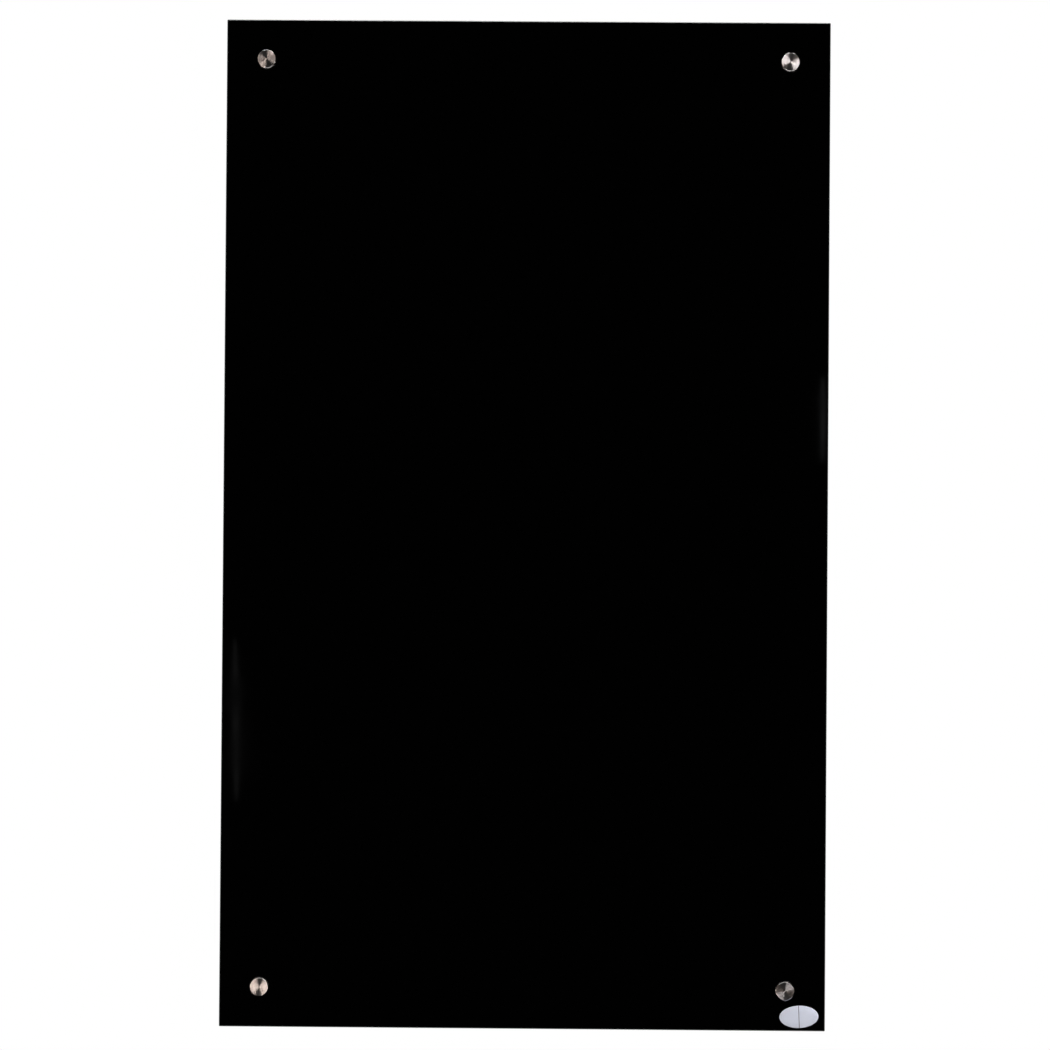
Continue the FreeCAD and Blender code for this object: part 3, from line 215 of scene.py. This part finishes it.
bpy.context.scene.view_settings.view_transform = "Standard"
world = bpy.data.worlds.new("studio")
bpy.context.scene.world = world
world.use_nodes = True
world.node_tree.nodes.clear()
air = Shade(world.node_tree)
seen = air.node("ShaderNodeLightPath", {}, {}, "Is Camera Ray")
towards = air.node("ShaderNodeTexCoord", {}, {}, "Generated")
behind = step_between(part_of(towards, "Y"), *PAPER_FADE) * PAPER_SHEEN
lit = air.node("ShaderNodeMath", {"operation": "MAXIMUM"}, {0: seen, 1: behind})
paper = air.node("ShaderNodeBackground", {}, {
    "Color": PAPER_COLOUR, "Strength": lit * (PAPER_WHITE - ROOM_GLOW) + ROOM_GLOW})
air.node("ShaderNodeOutputWorld", {}, {"Surface": paper})
for box_name, box_facts in SOFT_BOXES.items():
    lamp(box_name, *box_facts)

floor_mesh = bpy.data.meshes.new("floor")
floor_shape = bmesh.new()
bmesh.ops.create_circle(floor_shape, cap_ends=True, segments=FLOOR_SIDES, radius=FLOOR_RADIUS,
                        matrix=Matrix.Translation((0, 0, FLOOR_LEVEL)))
floor_shape.to_mesh(floor_mesh)
floor_shape.free()
floor_finish, start = new_material("pale_floor")
reach = from_axis(place_of(start))
matt = start.node("ShaderNodeBsdfDiffuse", {}, {"Color": FLOOR_COLOUR})
glow = start.node("ShaderNodeEmission", {}, {"Color": PAPER_COLOUR, "Strength": PAPER_WHITE})
faded = start.node("ShaderNodeMixShader", {}, {
    0: step_between(reach, FLOOR_FADE, FLOOR_RADIUS), 1: matt, 2: glow})
start.node("ShaderNodeOutputMaterial", {}, {"Surface": faded})
floor_mesh.materials.append(floor_finish)
floor = link(bpy.data.objects.new("floor", floor_mesh))
floor.visible_glossy = False

# Front glass: one toughened sheet of black glass with a polished face, edges ground to a
# satin arris, and a matt enamel on its back. It hangs on the standoffs through four holes.
GLASS_BLACK = (0.0002, 0.0002, 0.0002, 1)
GROUND_EDGE = (0.095, 0.108, 0.106, 1)
BACK_ENAMEL = (0.009, 0.009, 0.010, 1)
ENAMEL_CLOUD = (0.015, 0.015, 0.016, 1)
GLASS_IOR = 1.52
POLISHED_ROUGHNESS = 0.03
SMEAR_ROUGHNESS = 0.05
SMEAR_LIMITS = (0.5, 0.75)
GROUND_ROUGHNESS = 0.42
ENAMEL_ROUGHNESS = 0.48
FLAT_FACE = (0.96, 0.99)
WAVE_PITCH = 0.24
WAVE_STRETCH = (1, 1, 0.4)
WAVE_STRENGTH = 0.012
MIX_FACTOR, MIX_FIRST, MIX_SECOND, MIX_COLOUR = 0, 6, 7, 2


def end_material(start, inputs):
    """Closes a material with one principled surface."""
    surface = start.node("ShaderNodeBsdfPrincipled", {}, inputs)
    start.node("ShaderNodeOutputMaterial", {}, {"Surface": surface})


def normal_of(start):
    """The direction that the surface faces."""
    return start.node("ShaderNodeNewGeometry", {}, {}, "Normal")


def noise(place, per_metre, detail=3.0, roughness=0.5):
    """Cloudy noise from 0 to 1, with so many lumps to the metre."""
    return place.node("ShaderNodeTexNoise", {}, {
        "Vector": place, "Scale": per_metre, "Detail": detail, "Roughness": roughness})


def blend(mask, first, second):
    """The first colour where the mask is 0 and the second where it is 1."""
    return mask.node("ShaderNodeMix", {"data_type": "RGBA"}, {
        MIX_FACTOR: mask, MIX_FIRST: first, MIX_SECOND: second}, MIX_COLOUR)


def relief(height, strength, rise, normal=None):
    """A normal bent by a height that rises so many metres, from the one given or the piece's own."""
    inputs = {"Strength": strength, "Distance": rise, "Height": height}
    if normal:
        inputs["Normal"] = normal
    return height.node("ShaderNodeBump", {}, inputs)


def wear(material, *names):
    """Gives CAD pieces their finish."""
    for name in names:
        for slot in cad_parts[name].material_slots:
            slot.material = material


def lit_by(lamps, state, pieces):
    """Keeps lamps whose names start so to these pieces, INCLUDE, or off them, EXCLUDE."""
    listed = bpy.data.collections.new("light_of_" + lamps)
    for piece in pieces:
        listed.objects.link(piece)
    for held in listed.collection_objects:
        held.light_linking.link_state = state
    for name in SOFT_BOXES:
        if name.startswith(lamps):
            bpy.data.objects[name].light_linking.receiver_collection = listed


black_glass, start = new_material("black_glass")
place = place_of(start)
backward = part_of(normal_of(start), "Y")
front_face = step_between(-1 * backward, *FLAT_FACE)
back_face = step_between(backward, *FLAT_FACE)
smears = step_between(noise(place, per_metre=7, detail=6.0, roughness=0.62), *SMEAR_LIMITS)
print_cloud = noise(place, per_metre=26, detail=5.0, roughness=0.6)
waves = noise(stretched(place, WAVE_STRETCH), per_metre=1 / WAVE_PITCH, detail=0.0)
face_roughness = POLISHED_ROUGHNESS + smears * SMEAR_ROUGHNESS
enamel_roughness = ENAMEL_ROUGHNESS + print_cloud * 0.12
edge_roughness = GROUND_ROUGHNESS + noise(place, per_metre=900) * 0.1
front_colour = blend(front_face, GROUND_EDGE, GLASS_BLACK)
back_colour = blend(print_cloud, BACK_ENAMEL, ENAMEL_CLOUD)
end_material(start, {
    "Base Color": blend(back_face, front_colour, back_colour),
    "Roughness": (front_face * face_roughness + back_face * enamel_roughness
                  + (1 - front_face - back_face) * edge_roughness),
    "Normal": relief(waves, WAVE_STRENGTH, WAVE_PITCH),
    "IOR": GLASS_IOR})
wear(black_glass, "front_glass")

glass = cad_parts["front_glass"]
lit_by("strip", "EXCLUDE", [glass, floor])
lit_by("sheet", "INCLUDE", [glass])
lit_by("glint", "INCLUDE", [glass])

# Standoff barrels: turned stainless bar, screwed to the wall. Fine rings from the lathe run
# round them, and clear washers keep the metal off both faces of the glass. A nylon bush
# lines each hole.
CORNERS = ("top_left", "top_right", "bottom_left", "bottom_right")
STEEL = (0.56, 0.55, 0.54, 1)
STEEL_DULL = (0.44, 0.43, 0.42, 1)
STEEL_ROUGHNESS = 0.24
TURNING_PITCH = 0.00022
TURNING_ROUND = 8
WASHER_CLEAR = (0.86, 0.88, 0.88, 1)
WASHER_HAZE = (0.70, 0.72, 0.71, 1)
WASHER_ROUGHNESS = 0.18
WASHER_IOR = 1.5
NYLON = (0.80, 0.79, 0.74, 1)
NYLON_SHADE = (0.70, 0.69, 0.64, 1)
NYLON_ROUGHNESS = 0.42
NYLON_DEPTH = 0.002

satin_steel, start = new_material("satin_stainless")
place = place_of(start)
rings = noise(stretched(place, (TURNING_ROUND, 1 / TURNING_PITCH, TURNING_ROUND)), 1.0, detail=2.0)
cloud = noise(place, per_metre=160)
end_material(start, {
    "Base Color": blend(cloud, STEEL, STEEL_DULL),
    "Metallic": 1.0,
    "Roughness": STEEL_ROUGHNESS + rings * 0.12 + cloud * 0.06,
    "Normal": relief(rings, strength=0.25, rise=0.00004)})

clear_plastic, start = new_material("clear_washer")
place = place_of(start)
haze = noise(place, per_metre=420)
end_material(start, {
    "Base Color": blend(haze, WASHER_CLEAR, WASHER_HAZE),
    "Roughness": WASHER_ROUGHNESS + haze * 0.25,
    "Transmission Weight": 0.7,
    "IOR": WASHER_IOR})

white_nylon, start = new_material("white_nylon")
place = place_of(start)
haze = noise(place, per_metre=300)
end_material(start, {
    "Base Color": blend(haze, NYLON, NYLON_SHADE),
    "Roughness": NYLON_ROUGHNESS + haze * 0.15,
    "Subsurface Weight": 0.1,
    "Subsurface Scale": NYLON_DEPTH})

for corner in CORNERS:
    wear(satin_steel, "standoff_barrel_" + corner)
    wear(clear_plastic, "rear_washer_" + corner, "front_washer_" + corner)
    wear(white_nylon, "hole_bush_" + corner)

# Standoff caps: spun stainless discs, each on a threaded stud that screws into its barrel.
# The lathe leaves fine rings round the face, which spread light into two opposite wedges,
# and the rim has a polished bevel.
CAP_RADIUS = 0.0095
CAP_HEIGHT = 0.005
CAP_SIDES = 96
CAP_DISH = 0.00012
BEVEL = 0.0008
RIM_ROUND = 0.00012
FACE_RADIUS = CAP_RADIUS - BEVEL
RING_PITCH = 0.00042
RING_DEPTH = 0.000006
RING_STEPS = 4
STUD_RADIUS = 0.004
STUD_LENGTH = 0.017
STUD_TIP = 0.0008
THREAD_PITCH = 0.00125
THREAD_DEPTH = 0.00055
THREAD_STEPS = 8
SHARP_EDGE = math.radians(35)
SPUN_LIGHT = (0.72, 0.69, 0.67, 1)
SPUN_DARK = (0.50, 0.47, 0.46, 1)
SPUN_GRAIN = 0.00016
SPUN_ROUGHNESS = 0.36
SPUN_ANISOTROPY = 1.0
SPUN_ROTATION = 0.25
RIM_POLISH = 0.22


def grid_of_rings(shape, rings):
    """Closed skin through rings of points; a ring of one point closes an end."""
    made = [[shape.verts.new(point) for point in ring] for ring in rings]
    for lower, upper in zip(made, made[1:]):
        count = max(len(lower), len(upper))
        for side in range(count):
            following = (side + 1) % count
            corners = [lower[side % len(lower)], lower[following % len(lower)],
                       upper[following % len(upper)], upper[side % len(upper)]]
            kept = list(dict.fromkeys(corners))
            shape.faces.new(kept)


def finish_mesh(name, shape, material):
    """An object of the mesh, shaded smooth apart from its sharp edges."""
    bmesh.ops.recalc_face_normals(shape, faces=shape.faces)
    mesh = bpy.data.meshes.new(name)
    shape.to_mesh(mesh)
    shape.free()
    mesh.shade_smooth()
    mesh.set_sharp_from_angle(angle=SHARP_EDGE)
    mesh.materials.append(material)
    return link(bpy.data.objects.new(name, mesh))


def ring_at(radius_at, height):
    """Points round the local Z axis, at a radius that may change with the turn."""
    turns = [side / CAP_SIDES for side in range(CAP_SIDES)]
    return [Vector((radius_at(turn) * math.cos(math.tau * turn),
                    radius_at(turn) * math.sin(math.tau * turn), height)) for turn in turns]


def plain(radius):
    """A radius that is the same all the way round."""
    return lambda turn: radius


def thread_radius(height):
    """The stud's radius round the turn, for a right-hand thread that runs out at both ends."""
    inset = min(height + STUD_LENGTH, -height)
    depth = THREAD_DEPTH * min(1.0, max(0.0, inset / THREAD_PITCH))

    def at(turn):
        along = (height / THREAD_PITCH + turn) % 1.0
        return STUD_RADIUS - depth * (1 - abs(2 * along - 1))
    return at


def cap_mesh(shape):
    """The cap's rings: up the stud from its tip, out under the head, round the rim and in."""
    rings = [[Vector((0, 0, -STUD_LENGTH))], ring_at(plain(STUD_RADIUS - STUD_TIP), -STUD_LENGTH)]
    threaded = STUD_LENGTH - STUD_TIP
    steps = round(threaded / THREAD_PITCH * THREAD_STEPS)
    for step in range(steps + 1):
        height = threaded * (step / steps - 1)
        rings.append(ring_at(thread_radius(height), height))
    for radius, height in [
            (CAP_RADIUS - RIM_ROUND, 0), (CAP_RADIUS, RIM_ROUND),
            (CAP_RADIUS, CAP_HEIGHT - BEVEL - RIM_ROUND),
            (CAP_RADIUS - RIM_ROUND / 2, CAP_HEIGHT - BEVEL + RIM_ROUND / 2),
            (FACE_RADIUS + RIM_ROUND / 2, CAP_HEIGHT - RIM_ROUND / 2)]:
        rings.append(ring_at(plain(radius), height))
    count = int(FACE_RADIUS / RING_PITCH) * RING_STEPS
    for step in range(count):
        radius = FACE_RADIUS * (1 - step / count)
        wave = RING_DEPTH * (1 - math.cos(math.tau * step / RING_STEPS)) / 2
        dish = CAP_DISH * (1 - (radius / FACE_RADIUS) ** 2)
        rings.append(ring_at(plain(radius), CAP_HEIGHT - wave - dish))
    rings.append([Vector((0, 0, CAP_HEIGHT - CAP_DISH))])
    grid_of_rings(shape, rings)


spun_steel, start = new_material("spun_stainless")
place = place_of(start)
radius = from_axis(place)
rings = start.node("ShaderNodeTexNoise", {"noise_dimensions": "1D"}, {
    "W": (radius + part_of(place, "Z")) / SPUN_GRAIN, "Scale": 1.0, "Detail": 3.0})
cloud = noise(place, per_metre=240)
rim = step_between(radius, FACE_RADIUS, FACE_RADIUS + RIM_ROUND)
end_material(start, {
    "Base Color": blend(rings * 0.6 + cloud * 0.4, SPUN_LIGHT, SPUN_DARK),
    "Metallic": 1.0,
    "Roughness": SPUN_ROUGHNESS + rings * 0.05 - rim * RIM_POLISH,
    "Anisotropic": SPUN_ANISOTROPY,
    "Anisotropic Rotation": SPUN_ROTATION,
    "Normal": relief(rings, strength=0.15, rise=0.00002)})

caps = {}
for corner in CORNERS:
    low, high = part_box("standoff_cap_" + corner)
    middle = (low + high) / 2
    shape = bmesh.new()
    cap_mesh(shape)
    cap = finish_mesh("spun_cap_" + corner, shape, spun_steel)
    cap.matrix_world = (Matrix.Translation((middle.x, low.y + CAP_HEIGHT, middle.z))
                        @ Matrix.Rotation(math.pi / 2, 4, "X"))
    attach(cap, "cap_" + corner)
    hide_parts("standoff_cap_" + corner)
    caps[corner] = cap
lit_by("rim_low", "INCLUDE", [caps["top_left"], caps["top_right"]])
lit_by("rim_high", "INCLUDE", [caps["bottom_left"], caps["bottom_right"]])

# Oval plate: a bare silver film with one plain dividing line, stuck to the glass by hand
# near its lower right corner, so it leans a little.
PLATE_ACROSS, PLATE_UP = 0.2743, -0.4858
PLATE_LENGTH, PLATE_HEIGHT = 0.0386, 0.0220
PLATE_LEAN = math.radians(2.5)
PLATE_THICKNESS = 0.00018
PLATE_EDGE = 0.00025
PLATE_SIDES = 128
LINE_HALF = 0.00031
LINE_BLUR = 0.3
SILVER_FILM = (0.65, 0.69, 0.79, 1)
SILVER_SHADE = (0.58, 0.62, 0.72, 1)
LINE_GREY = (0.06, 0.06, 0.08, 1)
FILM_ROUGHNESS = 0.42
FILM_METAL = 0.15
FILM_STRETCH = (0.35, 1, 1)


def oval_at(inset, height):
    """Points round the oval, drawn in by an inset."""
    turns = [math.tau * side / PLATE_SIDES for side in range(PLATE_SIDES)]
    return [Vector(((PLATE_LENGTH / 2 - inset) * math.cos(turn),
                    (PLATE_HEIGHT / 2 - inset) * math.sin(turn), height)) for turn in turns]


silver_film, start = new_material("silver_film")
place = place_of(start)
grain = noise(stretched(place, FILM_STRETCH), per_metre=2600, detail=2.0)
cloud = noise(place, per_metre=90)
beside = abs(part_of(place, "X"))
line = 1 - step_between(beside, LINE_HALF * (1 - LINE_BLUR), LINE_HALF * (1 + LINE_BLUR))
silver = blend(grain * 0.7 + cloud * 0.3, SILVER_FILM, SILVER_SHADE)
end_material(start, {
    "Base Color": blend(line, silver, LINE_GREY),
    "Metallic": FILM_METAL,
    "Roughness": FILM_ROUGHNESS + grain * 0.12,
    "Normal": relief(grain, strength=0.1, rise=0.00002)})
shape = bmesh.new()
grid_of_rings(shape, [
    [Vector((0, 0, 0))], oval_at(0, 0), oval_at(0, PLATE_THICKNESS / 2),
    oval_at(PLATE_EDGE, PLATE_THICKNESS), oval_at(PLATE_HEIGHT / 4, PLATE_THICKNESS),
    [Vector((0, 0, PLATE_THICKNESS))]])
plate = finish_mesh("oval_plate", shape, silver_film)
glass_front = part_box("front_glass")[0].y
plate.matrix_world = (Matrix.Translation((PLATE_ACROSS, glass_front, PLATE_UP))
                      @ Matrix.Rotation(math.pi / 2, 4, "X") @ Matrix.Rotation(PLATE_LEAN, 4, "Z"))
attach(plate, "panel")
lit_by("film", "INCLUDE", [plate])

# Rear tray: one pressed sheet of galvanised steel with stiffening beads and a flange turned
# in round its mouth. Zinc crystals, each lying a little askew, give it a cool, patchy sheen.
# A bead of black silicone bonds the flange to the glass.
ZINC_LIGHT = (0.51, 0.525, 0.54, 1)
ZINC_DARK = (0.40, 0.415, 0.435, 1)
ZINC_ROUGHNESS = 0.42
CRYSTAL_SIZE = 0.0075
CRYSTAL_BEND = (0.006, 0.006, 0.006)
CRYSTAL_TILT = (0.16, 0.16, 0.16)
SMUDGE_LIMITS = (0.52, 0.72)
SILICONE_BLACK = (0.012, 0.012, 0.012, 1)
SILICONE_GREY = (0.024, 0.024, 0.025, 1)
SILICONE_ROUGHNESS = 0.38


def moved(vector, by):
    """A vector with another added."""
    return vector.node("ShaderNodeVectorMath", {"operation": "ADD"}, {0: vector, 1: by})


galvanised, start = new_material("galvanised_sheet")
place = place_of(start)
bent = moved(place, stretched(noise(place, per_metre=60), CRYSTAL_BEND))
crystals = start.node("ShaderNodeTexVoronoi", {}, {"Vector": bent, "Scale": 1 / CRYSTAL_SIZE}, "Color")
tone = part_of(crystals, "X")
askew = stretched(moved(crystals, (-0.5, -0.5, -0.5)), CRYSTAL_TILT)
grain = noise(place, per_metre=700, detail=4.0)
smudges = step_between(noise(place, per_metre=5.5, detail=5.0, roughness=0.6), *SMUDGE_LIMITS)
end_material(start, {
    "Base Color": blend(tone * 0.8 + grain * 0.2, ZINC_LIGHT, ZINC_DARK),
    "Metallic": 1.0,
    "Roughness": ZINC_ROUGHNESS + tone * 0.06 + grain * 0.06 + smudges * 0.05,
    "Normal": relief(grain, strength=0.12, rise=0.00008, normal=moved(normal_of(start), askew))})
wear(galvanised, "rear_tray")

silicone, start = new_material("black_silicone")
lumps = noise(place_of(start), per_metre=260)
end_material(start, {
    "Base Color": blend(lumps, SILICONE_BLACK, SILICONE_GREY),
    "Roughness": SILICONE_ROUGHNESS + lumps * 0.2,
    "Normal": relief(lumps, strength=0.3, rise=0.0003)})
wear(silicone, "tray_gasket")

# Heating core, shut in the tray: an aluminium spreader on the back of the glass, a red
# silicone heating cable laid up and down in a milled groove, and a fibre board behind it.
FOIL = (0.80, 0.81, 0.82, 1)
FOIL_DULL = (0.66, 0.67, 0.69, 1)
FOIL_ROUGHNESS = 0.22
CABLE_RED = (0.38, 0.035, 0.025, 1)
CABLE_DARK = (0.28, 0.025, 0.02, 1)
CABLE_ROUGHNESS = 0.45
BOARD_IVORY = (0.66, 0.61, 0.50, 1)
BOARD_BROWN = (0.52, 0.46, 0.36, 1)
BOARD_ROUGHNESS = 0.82
FIBRE_STRETCH = (1, 1, 6)

foil, start = new_material("aluminium_foil")
creases = noise(place_of(start), per_metre=120, detail=5.0, roughness=0.65)
end_material(start, {
    "Base Color": blend(creases, FOIL, FOIL_DULL),
    "Metallic": 1.0,
    "Roughness": FOIL_ROUGHNESS + creases * 0.2,
    "Normal": relief(creases, strength=0.4, rise=0.0004)})
wear(foil, "heat_spreader")

red_silicone, start = new_material("red_silicone")
lumps = noise(place_of(start), per_metre=500)
end_material(start, {
    "Base Color": blend(lumps, CABLE_RED, CABLE_DARK),
    "Roughness": CABLE_ROUGHNESS + lumps * 0.15,
    "Normal": relief(lumps, strength=0.2, rise=0.0001)})
wear(red_silicone, "heating_cable")

fibre_board, start = new_material("fibre_board")
fibres = noise(stretched(place_of(start), FIBRE_STRETCH), per_metre=240, detail=6.0, roughness=0.7)
end_material(start, {
    "Base Color": blend(fibres, BOARD_IVORY, BOARD_BROWN),
    "Roughness": BOARD_ROUGHNESS + fibres * 0.12,
    "Normal": relief(fibres, strength=0.5, rise=0.0004)})
wear(fibre_board, "insulation_board")

# Thermal cutout and crimped joints in the wiring bay: an aluminium cap on a dark phenolic
# body, tinned brass tabs with push-on receptacles, and a zinc-plated earth stud with its nut.
PHENOLIC = (0.035, 0.020, 0.014, 1)
PHENOLIC_LIGHT = (0.055, 0.032, 0.022, 1)
CUTOUT_DULL = (0.62, 0.63, 0.64, 1)
TINNED = (0.66, 0.64, 0.58, 1)
TINNED_DULL = (0.50, 0.46, 0.38, 1)
ZINC_PLATE = (0.55, 0.56, 0.56, 1)
ZINC_PLATE_DULL = (0.40, 0.41, 0.43, 1)


def plain_metal(name, colour, dull, roughness, per_metre):
    """A bare or plated metal with a cloudy, slightly uneven polish."""
    material, start = new_material(name)
    cloud = noise(place_of(start), per_metre, detail=4.0)
    end_material(start, {
        "Base Color": blend(cloud, colour, dull),
        "Metallic": 1.0,
        "Roughness": roughness + cloud * 0.16,
        "Normal": relief(cloud, strength=0.15, rise=0.00006)})
    return material


def moulding(name, colour, shade, roughness, per_metre, rise):
    """A moulded plastic or rubber with the fine grain of its mould."""
    material, start = new_material(name)
    place = place_of(start)
    grain = noise(place, per_metre, roughness=0.6)
    cloud = noise(place, per_metre=45)
    end_material(start, {
        "Base Color": blend(grain * 0.5 + cloud * 0.5, colour, shade),
        "Roughness": roughness + grain * 0.12 + cloud * 0.06,
        "Normal": relief(grain, strength=0.35, rise=rise)})
    return material


phenolic = moulding("dark_moulding", PHENOLIC, PHENOLIC_LIGHT,
                    roughness=0.42, per_metre=900, rise=0.00004)
wear(phenolic, "cutout_body")
bare_aluminium = plain_metal("cutout_aluminium", FOIL, CUTOUT_DULL, roughness=0.25, per_metre=420)
wear(bare_aluminium, "cutout_cap")
tinned_brass = plain_metal("tinned_brass", TINNED, TINNED_DULL, roughness=0.22, per_metre=640)
wear(tinned_brass, "cutout_tabs", "push_on_receptacles", "crimp_splices", "earth_ring",
     "terminal_tubes", "switch_tabs")
zinc_steel = plain_metal("zinc_steel", ZINC_PLATE, ZINC_PLATE_DULL, roughness=0.24, per_metre=520)
wear(zinc_steel, "earth_stud", "earth_washer", "earth_nut", "terminal_screws", "block_screws",
     "lid_screws")

# Wires between the terminals, the switch and the core: soft insulation in the usual colours,
# with the earth striped, passing through a rubber grommet.
WIRE_BROWN = (0.10, 0.035, 0.014, 1)
BROWN_DARK = (0.07, 0.024, 0.010, 1)
WIRE_BLUE = (0.012, 0.055, 0.26, 1)
BLUE_DARK = (0.010, 0.04, 0.20, 1)
WIRE_GREEN = (0.02, 0.20, 0.045, 1)
WIRE_YELLOW = (0.72, 0.55, 0.03, 1)
WIRE_ROUGHNESS = 0.34
WIRE_GRAIN = 1200
WIRE_RISE = 0.00002
STRIPE_TURN = 520
STRIPE_SLANT = 130
STRIPE_BLUR = 0.1
RUBBER = (0.014, 0.014, 0.014, 1)
RUBBER_GREY = (0.026, 0.026, 0.026, 1)

brown = moulding("brown_insulation", WIRE_BROWN, BROWN_DARK, WIRE_ROUGHNESS, WIRE_GRAIN, WIRE_RISE)
wear(brown, "live_wire", "switched_live_wire", "cutout_wire")
blue = moulding("blue_insulation", WIRE_BLUE, BLUE_DARK, WIRE_ROUGHNESS, WIRE_GRAIN, WIRE_RISE)
wear(blue, "neutral_wire")
rubber = moulding("black_rubber", RUBBER, RUBBER_GREY, roughness=0.55, per_metre=1500, rise=0.00003)
wear(rubber, "wire_grommet", "gland_seal")

striped, start = new_material("green_insulation")
place = place_of(start)
turned = part_of(place, "X") * STRIPE_TURN + part_of(place, "Z") * STRIPE_SLANT
wave = start.node("ShaderNodeMath", {"operation": "SINE"}, {0: turned})
grain = noise(place, WIRE_GRAIN)
end_material(start, {
    "Base Color": blend(step_between(wave, -STRIPE_BLUR, STRIPE_BLUR), WIRE_GREEN, WIRE_YELLOW),
    "Roughness": WIRE_ROUGHNESS + grain * 0.12,
    "Normal": relief(grain, strength=0.3, rise=WIRE_RISE)})
wear(striped, "earth_wire")

# Junction box under the tray: a black moulding with a fine spark grain, a flat lid held by
# four sunk screws, foam tape that bonds it to the glass, and an ivory terminal block inside.
BOX_BLACK = (0.020, 0.020, 0.021, 1)
BOX_SHADE = (0.034, 0.034, 0.035, 1)
FOAM = (0.05, 0.05, 0.052, 1)
FOAM_GREY = (0.09, 0.09, 0.09, 1)
IVORY = (0.74, 0.70, 0.60, 1)
IVORY_SHADE = (0.66, 0.61, 0.50, 1)

box_plastic = moulding("black_box_plastic", BOX_BLACK, BOX_SHADE,
                       roughness=0.46, per_metre=1700, rise=0.00006)
wear(box_plastic, "junction_box", "box_lid", "gland_body", "gland_locknut", "gland_dome_nut")
foam = moulding("foam_tape", FOAM, FOAM_GREY, roughness=0.85, per_metre=1300, rise=0.0003)
wear(foam, "box_bonding_pad")
ivory = moulding("ivory_moulding", IVORY, IVORY_SHADE, roughness=0.38, per_metre=900, rise=0.00003)
wear(ivory, "terminal_block")

# Rocker switch: a glossy black bezel in the floor of the box, and a rocker that tilts in it.
# A fine ring and a bar stand proud of the rocker's two faces and mark off and on.
GLOSS_BLACK = (0.010, 0.010, 0.010, 1)
GLOSS_SHADE = (0.018, 0.018, 0.018, 1)
MARK_WHITE = (0.72, 0.72, 0.70, 1)
MARK_SHADE = (0.60, 0.60, 0.57, 1)
MARK_HEIGHT = 0.0022
MARK_LINE = 0.00042
MARK_RISE = 0.00006
MARK_SIDES = 40
FACING_DOWN = -0.7
REAR_SHELL = ("rear_tray", "tray_gasket", "junction_box", "box_lid", "box_bonding_pad", "switch_body",
              "switch_rocker", "gland_body", "gland_dome_nut")

gloss = moulding("gloss_black_plastic", GLOSS_BLACK, GLOSS_SHADE,
                 roughness=0.16, per_metre=500, rise=0.00001)
wear(gloss, "switch_body", "switch_rocker")


def rocker_faces():
    """The middle and the normal of the rocker's two broad faces, lowest normal in X first."""
    flats = {}
    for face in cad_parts["switch_rocker"].data.polygons:
        key = (round(face.normal.x, 2), round(face.normal.z, 2))
        area, middle, normal = flats.get(key, (0.0, Vector(), face.normal.copy()))
        flats[key] = (area + face.area, middle + face.center * face.area, normal)
    lower = [flat for flat in flats.values() if flat[2].z < FACING_DOWN]
    broad = sorted(lower, key=lambda flat: -flat[0])[:2]
    return sorted(((middle / area, normal) for area, middle, normal in broad),
                  key=lambda face: face[1].x)


def raised_band(shape, outer, inner, matrix):
    """A flat band between two outlines of as many points, a hair thick."""
    lift = Vector((0, 0, MARK_RISE))
    around = [outer, [point + lift for point in outer], [point + lift for point in inner], inner]
    made = [[shape.verts.new(matrix @ point) for point in ring] for ring in around]
    for lower, upper in zip(made, made[1:] + made[:1]):
        for side in range(len(lower)):
            following = (side + 1) % len(lower)
            shape.faces.new([lower[side], lower[following], upper[following], upper[side]])


def raised_bar(shape, width, height, matrix):
    """A flat bar, a hair thick."""
    bmesh.ops.create_cube(shape, size=1, matrix=matrix @ Matrix.Translation((0, 0, MARK_RISE / 2))
                          @ Matrix.Diagonal((width, height, MARK_RISE, 1)))


def circle_of(radius):
    """Points round the ring mark."""
    turns = [math.tau * side / MARK_SIDES for side in range(MARK_SIDES)]
    return [Vector((math.cos(turn), math.sin(turn), 0)) * radius for turn in turns]


shape = bmesh.new()
for mark, (middle, normal) in zip(("ring", "bar"), rocker_faces()):
    level = Vector((0, 1, 0))
    across = normal.cross(level) * -1
    seat = Matrix.Translation(middle) @ Matrix((across, level, normal)).transposed().to_4x4()
    if mark == "ring":
        raised_band(shape, circle_of(MARK_HEIGHT / 2), circle_of(MARK_HEIGHT / 2 - MARK_LINE), seat)
    else:
        raised_bar(shape, MARK_LINE, MARK_HEIGHT, seat)
mark_paint = moulding("white_mark", MARK_WHITE, MARK_SHADE, roughness=0.45, per_metre=2000, rise=0.00002)
marks = finish_mesh("rocker_marks", shape, mark_paint)
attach(marks, "rocker")
lit_by("side", "INCLUDE", [marks] + [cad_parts[name] for name in REAR_SHELL])
